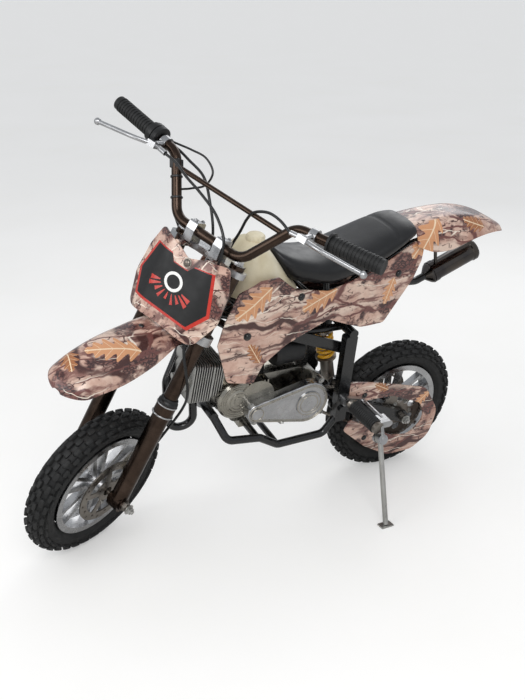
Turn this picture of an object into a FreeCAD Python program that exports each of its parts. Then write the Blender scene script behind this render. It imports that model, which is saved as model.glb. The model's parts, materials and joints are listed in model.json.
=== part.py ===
import FreeCAD, Part
import math
import os

V = FreeCAD.Vector
X, Y, Z = V(1, 0, 0), V(0, 1, 0), V(0, 0, 1)

# A child's two-wheeled off-road bike with a small engine, parked on its side stand.
# Everything is modelled on the upright bike in millimetres: x forward, y to the rider's
# left, z up, the rear axle above x = 0 and the tyres on z = 0. The steered pieces are then
# turned to the left stop, and the whole bike leans onto its side stand.

# Chassis
WHEELBASE = 842.0
RAKE = 25.0                 # steering axis from the vertical, degrees
FORK_OFFSET = 44.5          # fork legs and axle ahead of the steering axis
LEAN = 10.5                 # lean to the left while parked, degrees
STEER_STOP = 26.0           # steering stop each side, degrees
FIT = 0.3                   # running gap between curved faces
FRAME_TUBE = 14.0           # main tube radius
CRADLE_TUBE = 11.0
RAIL_TUBE = 9.0
CRADLE_Y = 80.0             # cradle tubes and rear posts from the middle
POST_RADIUS = 11.0

# Wheels
TYRE_RADIUS = 193.0         # over the lugs
TYRE_ROUND = 36.0           # half width, and radius of the crown
LUG_HEIGHT = 7.0
LUG_PITCHES = 24
BEAD_RADIUS = 127.0
BEAD_HALF = 22.0
RIM_LIP = 133.0
RIM_WALL = 5.0
HUB_RADIUS = 24.0
HUB_HALF = 34.0
AXLE_RADIUS = 6.0
SPOKE_PAIRS = 6
DISC_RADIUS = 82.0
DISC_THICK = 3.5
DISC_Y = 40.0               # front disc, on the left

# Fork
LEG_Y = 78.0
LEG_RADIUS = 20.5
TUBE_RADIUS = 16.5
LEG_TOP = 262.0             # along the steering axis, from abeam the axle
LOWER_CLAMP = (428.0, 448.0)
UPPER_CLAMP = (592.0, 606.0)
HEAD_TUBE = (452.0, 588.0)
HEAD_RADIUS = 22.0
STEM_RADIUS = 13.0
BAR_AT = (634.0, 72.0)      # bar centre: along and ahead of the steering axis
BAR_RADIUS = 11.0
BAR_HALF = 360.0
GRIP_LENGTH = 116.0
GRIP_RADIUS = 16.0

# Engine and drive
SPROCKET_X, SPROCKET_Z = 318.0, 325.0
FRONT_SPROCKET = 24.0       # pitch radii
REAR_SPROCKET = 72.0
CHAIN_Y = 47.0
CHAIN_HALF_WIDTH = 4.5
CHAIN_HALF_HEIGHT = 4.5
PIVOT = (224.0, 290.0)      # swingarm pivot x, z
ARM_Y = 62.0                # swingarm rails from the middle
ARM_HALF = 6.0
REAR_DISC_Y = -44.0

# Side stand
STAND_PIVOT = (170.0, 196.0, 256.0)
STAND_SPLAY = 25.0
STAND_FORWARD = 8.0        # foot ahead of the pivot
STAND_RADIUS = 6.5
PAD = (34.0, 22.0, 4.0)

RAKE_SIN, RAKE_COS = math.sin(math.radians(RAKE)), math.cos(math.radians(RAKE))
STEER_AXIS = V(-RAKE_SIN, 0, RAKE_COS)
STEER_AHEAD = V(RAKE_COS, 0, RAKE_SIN)
FRONT_AXLE = V(WHEELBASE, 0, TYRE_RADIUS)
REAR_AXLE = V(0, 0, TYRE_RADIUS)
STEER_FOOT = FRONT_AXLE - STEER_AHEAD * FORK_OFFSET


def steer_point(along, ahead, side):
    """A point of the steered parts: along the steering axis, ahead of it, and to the left."""
    return STEER_FOOT + STEER_AXIS * along + STEER_AHEAD * ahead + Y * side


def unit(vector):
    return vector * (1.0 / vector.Length)


def corner(before, at, after, radius):
    """Start, middle and end of the tangent arc that rounds one corner."""
    back, on = unit(before - at), unit(after - at)
    half = math.acos(max(-1.0, min(1.0, back.dot(on)))) / 2
    reach = radius / math.tan(half)
    centre = at + unit(back + on) * (radius / math.sin(half))
    return at + back * reach, centre + unit(at - centre) * radius, at + on * reach


def path_edges(points, closed):
    """Straight runs joined by tangent arcs through (point, corner radius) pairs."""
    count = len(points)
    arcs = []
    for index, (at, radius) in enumerate(points):
        if radius <= 0 or (not closed and index in (0, count - 1)):
            arcs.append((at, None, at))
        else:
            arcs.append(corner(points[index - 1][0], at, points[(index + 1) % count][0], radius))
    edges = []
    for index in range(count if closed else count - 1):
        start, end = arcs[index][2], arcs[(index + 1) % count][0]
        if start.distanceToPoint(end) > 1e-6:
            edges.append(Part.LineSegment(start, end).toShape())
        following = arcs[(index + 1) % count]
        if following[1] is not None:
            edges.append(Part.Arc(*following).toShape())
    return edges


def outline(points, place):
    """Closed wire through (u, v, radius) corners, put in space by place(u, v)."""
    return Part.Wire(path_edges([(place(u, v), r) for u, v, r in points], True))


def prism(points, place, direction):
    return Part.Face(outline(points, place)).extrude(direction)


def side_slab(points, low, high):
    """Outline (x, z, radius) seen from the side, from y = low to y = high."""
    return prism(points, lambda x, z: V(x, low, z), Y * (high - low))


def top_slab(points, low, high):
    """Outline (x, y, radius) seen from above, from z = low to z = high."""
    return prism(points, lambda x, y: V(x, y, low), Z * (high - low))


def front_slab(points, low, high):
    """Outline (y, z, radius) seen from the front, from x = low to x = high."""
    return prism(points, lambda y, z: V(low, y, z), X * (high - low))


def rod(start, end, radius):
    return Part.makeCylinder(radius, start.distanceToPoint(end), start, end - start)


def pipe(start, end, radius, bore):
    beyond = unit(end - start) * 2
    return rod(start, end, radius).cut(rod(start - beyond, end + beyond, bore))


def tube(points, radius, bend):
    """Round tube along straight runs with tangent bends."""
    path = Part.Wire(path_edges([(V(*p), bend) for p in points], False))
    start = V(*points[0])
    circle = Part.Wire(Part.makeCircle(radius, start, V(*points[1]) - start))
    return path.makePipeShell([circle], True, False)


def turned(profile, centre, axis=Y, across=X):
    """Solid of revolution: (radius, height along axis) corners, about axis through centre."""
    points = [centre + across * r + axis * h for r, h in profile]
    face = Part.Face(Part.makePolygon(points + points[:1]))
    return face.revolve(centre, axis, 360)


def hull_outline(circles):
    """Outline (u, v, radius) of the belt round two circles (u, v, radius), the larger second."""
    (u0, v0, r0), (u1, v1, r1) = circles
    length = math.hypot(u1 - u0, v1 - v0)
    heading = math.atan2(v1 - v0, u1 - u0)
    slope = math.acos((r0 - r1) / length)
    points = []
    for sign in (1, -1):
        for u, v, r in (circles if sign > 0 else circles[::-1]):
            angle = heading + sign * slope
            points.append((u + r * math.cos(angle), v + r * math.sin(angle)))
    return points


def belt(circles, place, direction):
    """Solid of the belt round two circles, as under a taut chain."""
    (u0, v0, r0), (u1, v1, r1) = circles
    a, b, c, d = hull_outline(circles)
    heading = math.atan2(v1 - v0, u1 - u0)
    far = (u1 + r1 * math.cos(heading), v1 + r1 * math.sin(heading))
    near = (u0 - r0 * math.cos(heading), v0 - r0 * math.sin(heading))
    edges = [Part.LineSegment(place(*a), place(*b)).toShape(),
             Part.Arc(place(*b), place(*far), place(*c)).toShape(),
             Part.LineSegment(place(*c), place(*d)).toShape(),
             Part.Arc(place(*d), place(*near), place(*a)).toShape()]
    return Part.Face(Part.Wire(edges)).extrude(direction)


def mirrored(shape):
    return shape.mirror(V(0, 0, 0), Y)


def both_sides(shape):
    return [shape, mirrored(shape)]


def fused(first, *others):
    return first.fuse(list(others)).removeSplitter() if others else first


def largest(shape):
    """The biggest solid of a trimmed shape, without the slivers beside it."""
    return max(shape.Solids, key=lambda solid: solid.Volume)


def loft(sections):
    return Part.makeLoft(sections, True, True)


# Tyre: a lattice of flat cells. Rows of lugs stand on the crown with grooves between them,
# and each second row is shifted by half a pitch.
CROWN_ANGLES = (-74, -52, -44, -24, -16.5, -10.5, 10.5, 16.5, 24, 44, 52, 74)
LUG_ROWS = {0: 0, 2: 1, 4: None, 5: 0, 6: None, 8: 1, 10: 0}


def tyre_profile():
    """Base and lug-top corners (radius, y) round the section, with the lug row of each band."""
    middle = TYRE_RADIUS - TYRE_ROUND
    base, top = [], []
    for angle in CROWN_ANGLES:
        a = math.radians(angle)
        for corners, radius in ((base, TYRE_ROUND - LUG_HEIGHT), (top, TYRE_ROUND)):
            corners.append((middle + radius * math.cos(a), radius * math.sin(a)))
    foot = [(RIM_LIP + 0.8, BEAD_HALF), (BEAD_RADIUS, BEAD_HALF)]
    left = [(r, y) for r, y in foot]
    right = [(r, -y) for r, y in reversed(foot)]
    return base + left + right, top


def tyre(centre):
    base, top = tyre_profile()
    cells = 2 * LUG_PITCHES
    bands = len(base)
    stretch = 1 / math.cos(math.pi / cells)

    def spot(corner_rz, cell):
        r, y = corner_rz
        angle = 2 * math.pi * cell / cells
        bead = stretch if abs(r - BEAD_RADIUS) < 1e-6 else 1.0
        return centre + V(r * bead * math.sin(angle), y, r * bead * math.cos(angle))

    faces = []
    for band in range(bands):
        after = (band + 1) % bands
        row = LUG_ROWS.get(band)
        for cell in range(cells):
            quad = [(band, cell), (after, cell), (after, cell + 1), (band, cell + 1)]
            low = [spot(base[b], c) for b, c in quad]
            if row is None or cell % 2 != row:
                faces.append(Part.Face(Part.makePolygon(low + low[:1])))
                continue
            high = [spot(top[b], c) for b, c in quad]
            faces.append(Part.Face(Part.makePolygon(high + high[:1])))
            for i in range(4):
                j = (i + 1) % 4
                wall = [low[i], low[j], high[j], high[i]]
                faces.append(Part.Face(Part.makePolygon(wall + wall[:1])))
    shell = Part.makeShell(faces)
    shell.sewShape()
    solid = Part.Solid(shell)
    if solid.Volume < 0:
        solid.reverse()
    return solid


def rim(centre):
    """Cast wheel: barrel with lips, hub, and spokes in leaning pairs."""
    r0, r1, lip = BEAD_RADIUS - RIM_WALL, BEAD_RADIUS, RIM_LIP
    side, edge = BEAD_HALF + 0.5, BEAD_HALF + 3.5
    barrel = turned([(r0 - 4, -edge), (lip, -edge), (lip, -side), (r1, -side), (r1, side),
                     (lip, side), (lip, edge), (r0 - 4, edge), (r0, 12), (r0, -12)], centre)
    hub = turned([(AXLE_RADIUS + FIT, -HUB_HALF), (HUB_RADIUS - 6, -HUB_HALF),
                  (HUB_RADIUS, -18), (HUB_RADIUS, 18), (HUB_RADIUS - 6, HUB_HALF),
                  (AXLE_RADIUS + FIT, HUB_HALF)], centre)
    # Spoke outline: radius, half width
    spokes = []
    for pair in range(SPOKE_PAIRS):
        for lean in (-1, 1):
            foot, tip = 9.0 * lean, 21.0 * lean
            spoke = Part.Face(Part.makePolygon([
                V(foot - 6, -9, 18), V(foot + 6, -9, 18), V(tip + 4.5, -9, r0 + 2),
                V(tip - 4.5, -9, r0 + 2), V(foot - 6, -9, 18)])).extrude(Y * 18)
            spoke.rotate(V(0, 0, 0), Y, 360 * pair / SPOKE_PAIRS)
            spoke.translate(centre)
            spokes.append(spoke)
    return fused(barrel, hub, *spokes)


def brake_disc(centre, y):
    """Slotted rotor with a five-armed carrier bolted to the hub's face."""
    sign = 1 if y > 0 else -1
    at = centre + Y * y
    rotor = pipe(at, at + Y * (sign * DISC_THICK), DISC_RADIUS, DISC_RADIUS - 20)
    boss = pipe(centre + Y * (sign * (HUB_HALF + FIT)), at + Y * (sign * DISC_THICK), 26, 12)
    arms = []
    for index in range(5):
        arm = Part.makeBox(14, DISC_THICK - 0.5, DISC_RADIUS - 36, V(-7, 0, 22))
        arm.rotate(V(0, 0, 0), Y, 72 * index)
        arm.translate(at + Y * (0.25 if sign > 0 else -DISC_THICK + 0.25))
        arms.append(arm)
    holes = []
    for index in range(20):
        angle = math.radians(18 * index)
        radius = DISC_RADIUS - (7 if index % 2 else 13)
        spot = at + V(radius * math.sin(angle), -DISC_THICK * 2, radius * math.cos(angle))
        holes.append(Part.makeCylinder(3, DISC_THICK * 4, spot, Y))
    return fused(rotor, boss, *arms).cut(Part.makeCompound(holes))


def axle(centre, seat_y, nut=9.0):
    """Axle bolt with a hexagon nut outside each seat."""
    half = seat_y + nut + 6
    bolt = rod(centre - Y * half, centre + Y * half, AXLE_RADIUS)
    nuts = []
    for sign in (-1, 1):
        corners = [centre + Y * (sign * (seat_y + FIT))
                   + V(11 * math.sin(math.radians(a)), 0, 11 * math.cos(math.radians(a)))
                   for a in range(0, 360, 60)]
        nuts.append(Part.Face(Part.makePolygon(corners + corners[:1])).extrude(Y * (sign * nut)))
    return fused(bolt, *nuts)


# Fork and steering

def fork_tube(side):
    return rod(steer_point(LEG_TOP - 40, FORK_OFFSET, side), steer_point(616, FORK_OFFSET, side),
               TUBE_RADIUS)


def fork_leg(side):
    """Lower leg with dust seal collar, tapered foot and axle lug."""
    low, high = steer_point(-4, FORK_OFFSET, side), steer_point(LEG_TOP, FORK_OFFSET, side)
    leg = rod(low, high, LEG_RADIUS)
    collar = rod(high - STEER_AXIS * 22, high + STEER_AXIS * 6, LEG_RADIUS + 2.5)
    lug = rod(V(WHEELBASE, side - 16, TYRE_RADIUS), V(WHEELBASE, side + 16, TYRE_RADIUS), 21)
    reach = LEG_RADIUS + 0.5
    lug = fused(lug, rod(V(WHEELBASE, side - reach, TYRE_RADIUS), V(WHEELBASE, side + reach, TYRE_RADIUS), 15))
    bore = rod(steer_point(LEG_TOP - 41, FORK_OFFSET, side),
               steer_point(LEG_TOP + 20, FORK_OFFSET, side), TUBE_RADIUS)
    hole = rod(V(WHEELBASE, side - 40, TYRE_RADIUS), V(WHEELBASE, side + 40, TYRE_RADIUS),
               AXLE_RADIUS)
    return fused(leg, collar, lug).cut(bore).cut(hole)


def clamp_plate(low, high, reach):
    """Fork clamp: two rings round the tubes joined by a waisted bridge to the stem."""
    def place(u, v):
        return steer_point(low, u, v)
    side = LEG_Y
    plate = prism([(-reach, -26, 14), (-reach, 26, 14), (FORK_OFFSET - 24, side, 10),
                   (FORK_OFFSET - 12, side + 25, 16), (FORK_OFFSET + 14, side + 25, 16),
                   (FORK_OFFSET + 25, side - 4, 12), (FORK_OFFSET + 8, 24, 20),
                   (FORK_OFFSET + 8, -24, 20), (FORK_OFFSET + 25, -side + 4, 12),
                   (FORK_OFFSET + 14, -side - 25, 16), (FORK_OFFSET - 12, -side - 25, 16),
                   (FORK_OFFSET - 24, -side, 10)], place, STEER_AXIS * (high - low))
    holes = [rod(steer_point(low - 2, FORK_OFFSET, s * side),
                 steer_point(high + 2, FORK_OFFSET, s * side), TUBE_RADIUS) for s in (-1, 1)]
    stem = rod(steer_point(low - 2, 0, 0), steer_point(high + 2, 0, 0), STEM_RADIUS)
    return plate.cut(holes[0]).cut(holes[1]).cut(stem)


def steering_stem():
    return rod(steer_point(LOWER_CLAMP[0], 0, 0), steer_point(UPPER_CLAMP[1] + 8, 0, 0),
               STEM_RADIUS)


def bar_clamps():
    """Two risers on the upper clamp, each with a cap over the bar."""
    along, ahead = BAR_AT
    risers = []
    for side in (-38, 38):
        def place(u, v, side=side):
            return steer_point(u, v, side - 11)
        block = prism([(UPPER_CLAMP[1], ahead - 22, 2), (UPPER_CLAMP[1], ahead + 14, 2),
                       (along, ahead + 18, 3), (along + 19, ahead + 15, 5),
                       (along + 19, ahead - 15, 5), (along, ahead - 18, 3)], place, Y * 22)
        foot = rod(steer_point(UPPER_CLAMP[1], ahead - 14, side),
                   steer_point(UPPER_CLAMP[1] + 9, ahead - 14, side), 9)
        risers.append(fused(block, foot))
    bar = rod(steer_point(along, ahead, -60), steer_point(along, ahead, 60), BAR_RADIUS)
    return [riser.cut(bar) for riser in risers]


BAR_ROUTE = ((634, 72, 0), (634, 72, 92), (750, 65, 168), (773, 58, BAR_HALF))


def handlebar():
    """High-rise bar with a thin cross brace."""
    left = [steer_point(*p) for p in BAR_ROUTE]
    right = [steer_point(a, p, -s) for a, p, s in BAR_ROUTE[:0:-1]]
    route = [(p.x, p.y, p.z) for p in right + left[1:]]
    bar = tube(route, BAR_RADIUS, 45)
    brace = rod(steer_point(726, 67, -150), steer_point(726, 67, 150), 5.5)
    return fused(bar, brace)


def bar_end_frame(sign):
    """Inner and outer corner of one bar end, as points."""
    inner, outer = BAR_ROUTE[2], BAR_ROUTE[3]
    a = steer_point(inner[0], inner[1], sign * inner[2])
    b = steer_point(outer[0], outer[1], sign * outer[2])
    return a, b, unit(b - a)


def grip(sign):
    """Ribbed rubber grip with an inner flange, open at no end."""
    _, end, way = bar_end_frame(sign)
    start = end - way * GRIP_LENGTH
    body = rod(start, end + way * 5, GRIP_RADIUS)
    flange = rod(start, start + way * 5, GRIP_RADIUS + 6)
    ribs = [rod(start + way * (12 + 8 * i), start + way * (16 + 8 * i), GRIP_RADIUS + 1.2)
            for i in range(13)]
    return fused(body, flange, *ribs).cut(rod(start - way * 5, end, BAR_RADIUS))


# Lever on each side: gap from grip to ring, then the blade tip ahead of and below its pivot
LEVER_SET = {1: (44, -2, 14), -1: (50, 26, 36)}


def lever_perch(sign):
    """Middle of the perch block, and the bar's outward direction there."""
    _, end, way = bar_end_frame(sign)
    ring_at = end - way * (GRIP_LENGTH + LEVER_SET[sign][0])
    return ring_at + way * 8 + STEER_AHEAD * 32 - STEER_AXIS * 10, ring_at, way


def lever(sign):
    """Brake lever: clamp ring, perch, adjuster barrel and a curved blade with a ball end."""
    perch, ring_at, way = lever_perch(sign)
    _, tip_ahead, tip_down = LEVER_SET[sign]
    ahead, down = STEER_AHEAD, STEER_AXIS * -1
    ring = rod(ring_at, ring_at + way * 16, BAR_RADIUS + 4)
    block = Part.makeBox(34, 22, 13, V(-17, -11, -6.5))
    block.Placement = FreeCAD.Placement(perch, FreeCAD.Rotation(ahead, V(0, 1, 0), down, "XZY"))
    block = block.copy()
    neck = rod(ring_at + way * 8, perch, 8)
    bore = rod(ring_at - way * 20, ring_at + way * 40, BAR_RADIUS)
    joint = perch + ahead * 8
    knee = joint + way * 40 + ahead * (tip_ahead * 0.25 + 16) + down * (tip_down * 0.3)
    tip = joint + way * 142 + ahead * tip_ahead + down * tip_down
    blade = tube([tuple(joint), tuple(knee), tuple(tip)], 5, 60)
    ball = Part.makeSphere(8, tip)
    barrel = rod(perch - way * 10, perch - way * 34, 5.5)
    return fused(ring, neck, block, blade, ball, barrel).cut(bore)


def throttle_housing():
    """Twist-grip housing with its cable elbow, inboard of the right grip."""
    _, end, way = bar_end_frame(-1)
    at = end - way * (GRIP_LENGTH + FIT)
    drum = rod(at, at - way * 26, 21)
    elbow = rod(at - way * 13 - STEER_AHEAD * 16, at - way * 34 - STEER_AHEAD * 16, 6)
    return fused(drum, elbow).cut(rod(at + way * 5, at - way * 60, BAR_RADIUS))


# Cable routes between their ends: along, ahead, side, from the bar down
CABLE_RADIUS = 3.2
REAR_BRAKE_ROUTE = ((754, 90, 118), (730, 86, 66), (690, 40, 46), (640, 26, 32),
                    (UPPER_CLAMP[1], 22, 28))
THROTTLE_ROUTE = ((746, 42, -150), (734, 40, -94), (690, 36, -56), (646, 30, -24),
                  (UPPER_CLAMP[1], 24, -8))
FRONT_BRAKE_ROUTE = ((742, 93, -140), (722, 94, -100), (712, 98, -50), (690, 102, 12), (650, 100, 62),
                     (590, 90, 62), (470, 82, 58), (410, 84, 66), (364, 76, 104), (318, 46, 112),
                     (270, 6, 98), (200, 0, 84), (120, -10, 64), (84, -10, 50))
SWITCH_ROUTE = ((764, 34, -158), (768, 26, -118), (748, 22, -88), (716, 24, -88), (694, 36, -116),
                (676, 44, -142), (640, 44, -130), (UPPER_CLAMP[1], 34, -98))


def cable(points, radius=CABLE_RADIUS, bend=34.0):
    """Cable along corner points, each rounded as far as its neighbours leave room."""
    corners = []
    for index, at in enumerate(points):
        limit = 0.0
        if 0 < index < len(points) - 1:
            back, on = points[index - 1] - at, points[index + 1] - at
            half = math.acos(unit(back).dot(unit(on))) / 2
            limit = min(bend, 0.48 * min(back.Length, on.Length) * math.tan(half))
        corners.append((at, limit))
    path = Part.Wire(path_edges(corners, False))
    circle = Part.Wire(Part.makeCircle(radius, points[0], points[1] - points[0]))
    return path.makePipeShell([circle], True, False)


def control_cables():
    """Throttle, both brake cables and the stop switch's wire, from the bar down to their ends."""
    left, _, left_way = lever_perch(1)
    right, _, right_way = lever_perch(-1)
    _, end, way = bar_end_frame(-1)
    housing = end - way * (GRIP_LENGTH + FIT + 34) - STEER_AHEAD * 16
    switch = end - way * (GRIP_LENGTH + FIT + 14) - STEER_AHEAD * 20
    runs = [([left - left_way * 35], REAR_BRAKE_ROUTE, CABLE_RADIUS),
            ([housing], THROTTLE_ROUTE, CABLE_RADIUS),
            ([right - right_way * 35], FRONT_BRAKE_ROUTE, CABLE_RADIUS),
            ([switch], SWITCH_ROUTE, CABLE_RADIUS - 0.7)]
    held = [throttle_housing(), lever(1), lever(-1), front_caliper(),
            clamp_plate(UPPER_CLAMP[0], UPPER_CLAMP[1], 24)]
    made = []
    for start, route, radius in runs:
        run = cable(start + [steer_point(*p) for p in route], radius)
        for piece in held:
            run = run.cut(piece)
        made.append(largest(run))
    return made


PLATE_AHEAD = 108.0
# Number board outline, seen from the front: side, along the steering axis, corner radius
PLATE_OUTLINE = ((-94, 612, 12), (-72, 608, 8), (-28, 595, 10), (0, 584, 12), (28, 595, 10),
                 (72, 608, 8), (94, 612, 12), (113, 560, 40), (119, 492, 40), (92, 424, 22),
                 (0, 428, 80), (-92, 424, 22), (-119, 492, 40), (-113, 560, 40))


def number_plate():
    """Board whose wings sweep back, on posts from both clamps."""
    low, high, thick = 405.0, 620.0, 3.0

    def level(v, u):
        return steer_point(low, u, v)

    bend = [(-124, PLATE_AHEAD - 26, 0), (-64, PLATE_AHEAD, 60), (64, PLATE_AHEAD, 60),
            (124, PLATE_AHEAD - 26, 0)]
    back = [(v, u - thick, r) for v, u, r in reversed(bend)]
    sheet = prism(bend + back, level, STEER_AXIS * (high - low))
    cutter = prism(PLATE_OUTLINE, lambda v, u: steer_point(u, PLATE_AHEAD - 60, v),
                   STEER_AHEAD * 90)
    posts = [rod(steer_point(598, FORK_OFFSET, s), steer_point(598, PLATE_AHEAD - 2, s), 6)
             for s in (-44, 44)]
    posts.append(rod(steer_point(438, FORK_OFFSET, 0), steer_point(444, PLATE_AHEAD - 2, 0), 6))
    board = fused(sheet.common(cutter), *posts)
    for low, high in (LOWER_CLAMP, UPPER_CLAMP):
        board = board.cut(clamp_plate(low, high, 26))
    return largest(board)


# Front fender: x, half width of the crown, half width at the hem, crown height, depth of the sides
FENDER = ((624, 34, 50, 563.5, 14), (690, 36, 56, 594.2, 20), (785, 44, 66, 607, 42),
          (870, 46, 68, 608, 46), (935, 40, 60, 596, 32), (966, 28, 46, 582, 20),
          (984, 12, 26, 568, 8))


def front_fender():
    """Long rounded beak, an arched sheet that narrows to its tip."""
    thick = 3.0
    sections = []
    for x, crown, half, top, drop in FENDER:
        shoulder = (crown + half) / 2 + 1
        outer = [(half, top - drop), (shoulder, top - drop * 0.4), (crown * 0.8, top - 3)]
        inner = [(half - thick, top - drop), (shoulder - thick, top - drop * 0.4 - 1),
                 (crown * 0.8 - 1, top - 3 - thick)]
        ring = [(-y, z) for y, z in outer] + [(0, top)] + outer[::-1]
        ring += inner + [(0, top - thick)] + [(-y, z) for y, z in inner[::-1]]
        points = [V(x, y, z) for y, z in ring]
        sections.append(Part.makePolygon(points + points[:1]))
    return loft(sections)


def caliper(centre, y, angle):
    """Two-pot caliper that straddles a disc, carried by a bracket arm."""
    out = V(math.sin(math.radians(angle)), 0, math.cos(math.radians(angle)))
    along = V(out.z, 0, -out.x)
    at = centre + out * (DISC_RADIUS - 4) + Y * y

    def place(u, v):
        return at + out * u + Y * v
    body = prism([(-20, -13, 3), (24, -13, 6), (24, 16, 6), (-20, 16, 3)], place, along * 52)
    body.translate(along * -26)
    slot = prism([(-30, -3.5, 0), (6, -3.5, 0), (6, 3.5, 0), (-30, 3.5, 0)], place, along * 60)
    slot.translate(along * -30)
    return body.cut(slot), at, out, along


def front_caliper():
    """Caliper behind the left leg, on a lug from the leg."""
    body, at, out, along = caliper(FRONT_AXLE, DISC_Y + DISC_THICK / 2, -64)
    lug = rod(at + out * 12 + Y * 8, steer_point(92, FORK_OFFSET, LEG_Y) - STEER_AHEAD * 18, 8)
    leg = rod(steer_point(-20, FORK_OFFSET, LEG_Y), steer_point(LEG_TOP, FORK_OFFSET, LEG_Y),
              LEG_RADIUS)
    return fused(body, lug).cut(leg)


# Frame

def spine_route():
    mid = steer_point(540, 0, 0)
    return [(mid.x, 0, mid.z), (490, 0, 592), (400, 0, 560), (222, 0, 510)]


def frame_spine():
    """Head tube, backbone with side arms, shock lugs, and the arch over the rear posts."""
    head = rod(steer_point(HEAD_TUBE[0], 0, 0), steer_point(HEAD_TUBE[1], 0, 0), HEAD_RADIUS)
    bore = rod(steer_point(HEAD_TUBE[0] - 5, 0, 0), steer_point(HEAD_TUBE[1] + 5, 0, 0),
               STEM_RADIUS + FIT)
    spine = tube(spine_route(), FRAME_TUBE, 60)
    arch = rod(V(222, -CRADLE_Y - 13, 505), V(222, CRADLE_Y + 13, 505), 12)
    arms = both_sides(tube([(600, 12, 594), (520, 34, 545), (400, 40, 505), (222, 40, 500)],
                            CRADLE_TUBE - 2, 50))
    lugs = both_sides(side_slab([(238, 476, 8), (266, 476, 8), (272, 528, 2), (234, 518, 2)],
                                8.5, 14.5))
    hanger = side_slab([(286, 380, 6), (309, 380, 6), (309, 536, 4), (286, 536, 4)], -5, 5)
    whole = fused(head, spine, arch, hanger, *arms, *lugs).cut(bore)
    return whole.cut(shock_body()).cut(engine_crankcase())


CRADLE_ROUTE = ((556, 40, 318), (532, CRADLE_Y, 264), (444, CRADLE_Y, 250),
                (392, CRADLE_Y, 216), (262, CRADLE_Y, 216), (223, CRADLE_Y, 268))


def frame_cradle():
    """Twin lower tubes from the engine's front mount to the upright rear posts."""
    rails = both_sides(tube(CRADLE_ROUTE, CRADLE_TUBE - 1, 24))
    front = rod(V(556, -50, 318), V(556, 50, 318), CRADLE_TUBE)
    under = rod(V(450, -CRADLE_Y, 250), V(450, CRADLE_Y, 250), 9)
    bridge = rod(V(392, -CRADLE_Y, 216), V(392, CRADLE_Y, 216), 8)
    plates = both_sides(side_slab([(206, 250, 6), (238, 250, 6), (240, 498, 6), (208, 498, 6)],
                                  CRADLE_Y - POST_RADIUS, CRADLE_Y + POST_RADIUS))
    px, pz = PIVOT
    bolt = rod(V(px, -CRADLE_Y - POST_RADIUS - 6, pz), V(px, CRADLE_Y + POST_RADIUS + 6, pz), 8)
    cradle = fused(rails[0], rails[1], front, under, bridge, plates[0], plates[1], bolt)
    return cradle


# Seat rails: x, y, z of the left one
RAIL_ROUTE = ((330, 44, 596), (236, 44, 606), (60, 44, 700), (-70, 36, 718))
# Bosses that carry the side panels: x, z
PANEL_BOSSES = ((382, 632), (107, 640), (520, 566))


def frame_subframe():
    """Seat rails, stays, and the bosses for side panels and tail."""
    rails = both_sides(tube(RAIL_ROUTE, RAIL_TUBE, 50))
    ties = both_sides(rod(V(222, 40, 500), V(232, 44, 606), RAIL_TUBE - 1))
    stays = both_sides(rod(V(214, 34, 500), V(64, 40, 700), RAIL_TUBE - 1))
    loop = rod(V(-62, -38, 716), V(-62, 38, 716), RAIL_TUBE - 3)
    front = rod(V(320, -46, 597), V(320, 46, 597), RAIL_TUBE - 2)
    prop = rod(V(320, 0, 542), V(320, 0, 597), RAIL_TUBE - 3)
    posts = [rod(V(-40, s * 34, 712), V(-40, s * 34, 780), 6) for s in (-1, 1)]
    return fused(rails[0], rails[1], loop, front, prop, *ties, *stays, *posts)


def swingarm():
    """Two box rails, a cross tube, and a pair of lugs for the shock."""
    px, pz = PIVOT
    rails = []
    for side in (-1, 1):
        low = side * ARM_Y - ARM_HALF
        rails.append(belt([(0, TYRE_RADIUS, 17), (px, pz, 18)], lambda u, v: V(u, low, v),
                          Y * (2 * ARM_HALF)))
    cross = rod(V(212, -ARM_Y, 286), V(212, ARM_Y, 286), 9)
    lugs = both_sides(side_slab([(196, 286, 4), (226, 286, 4), (224, 336, 10), (202, 336, 10)],
                                20, 27))
    arm = fused(rails[0], rails[1], cross, *lugs)
    arm = arm.cut(rod(V(px, -ARM_Y * 2, pz), V(px, ARM_Y * 2, pz), 8))
    return arm.cut(rod(V(0, -ARM_Y * 2, TYRE_RADIUS), V(0, ARM_Y * 2, TYRE_RADIUS), AXLE_RADIUS))


SHOCK_LOW, SHOCK_HIGH = V(213, 0, 326), V(252, 0, 488)


def shock_body():
    """Damper with eyes, spring plates and rod."""
    way = unit(SHOCK_HIGH - SHOCK_LOW)
    length = SHOCK_LOW.distanceToPoint(SHOCK_HIGH)
    can = rod(SHOCK_LOW + way * 6, SHOCK_LOW + way * 68, 17)
    seat = rod(SHOCK_LOW + way * 66, SHOCK_LOW + way * 72, 26)
    shaft = rod(SHOCK_LOW + way * 60, SHOCK_HIGH, 6)
    top = rod(SHOCK_LOW + way * (length - 16), SHOCK_LOW + way * (length - 8), 25)
    eyes = [rod(SHOCK_LOW - Y * 19.7, SHOCK_LOW + Y * 19.7, 10),
            rod(SHOCK_HIGH - Y * 8.2, SHOCK_HIGH + Y * 8.2, 10)]
    pins = [rod(SHOCK_LOW - Y * 31, SHOCK_LOW + Y * 31, 5),
            rod(SHOCK_HIGH - Y * 18, SHOCK_HIGH + Y * 18, 5)]
    return fused(can, seat, shaft, top, *eyes, *pins)


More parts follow.
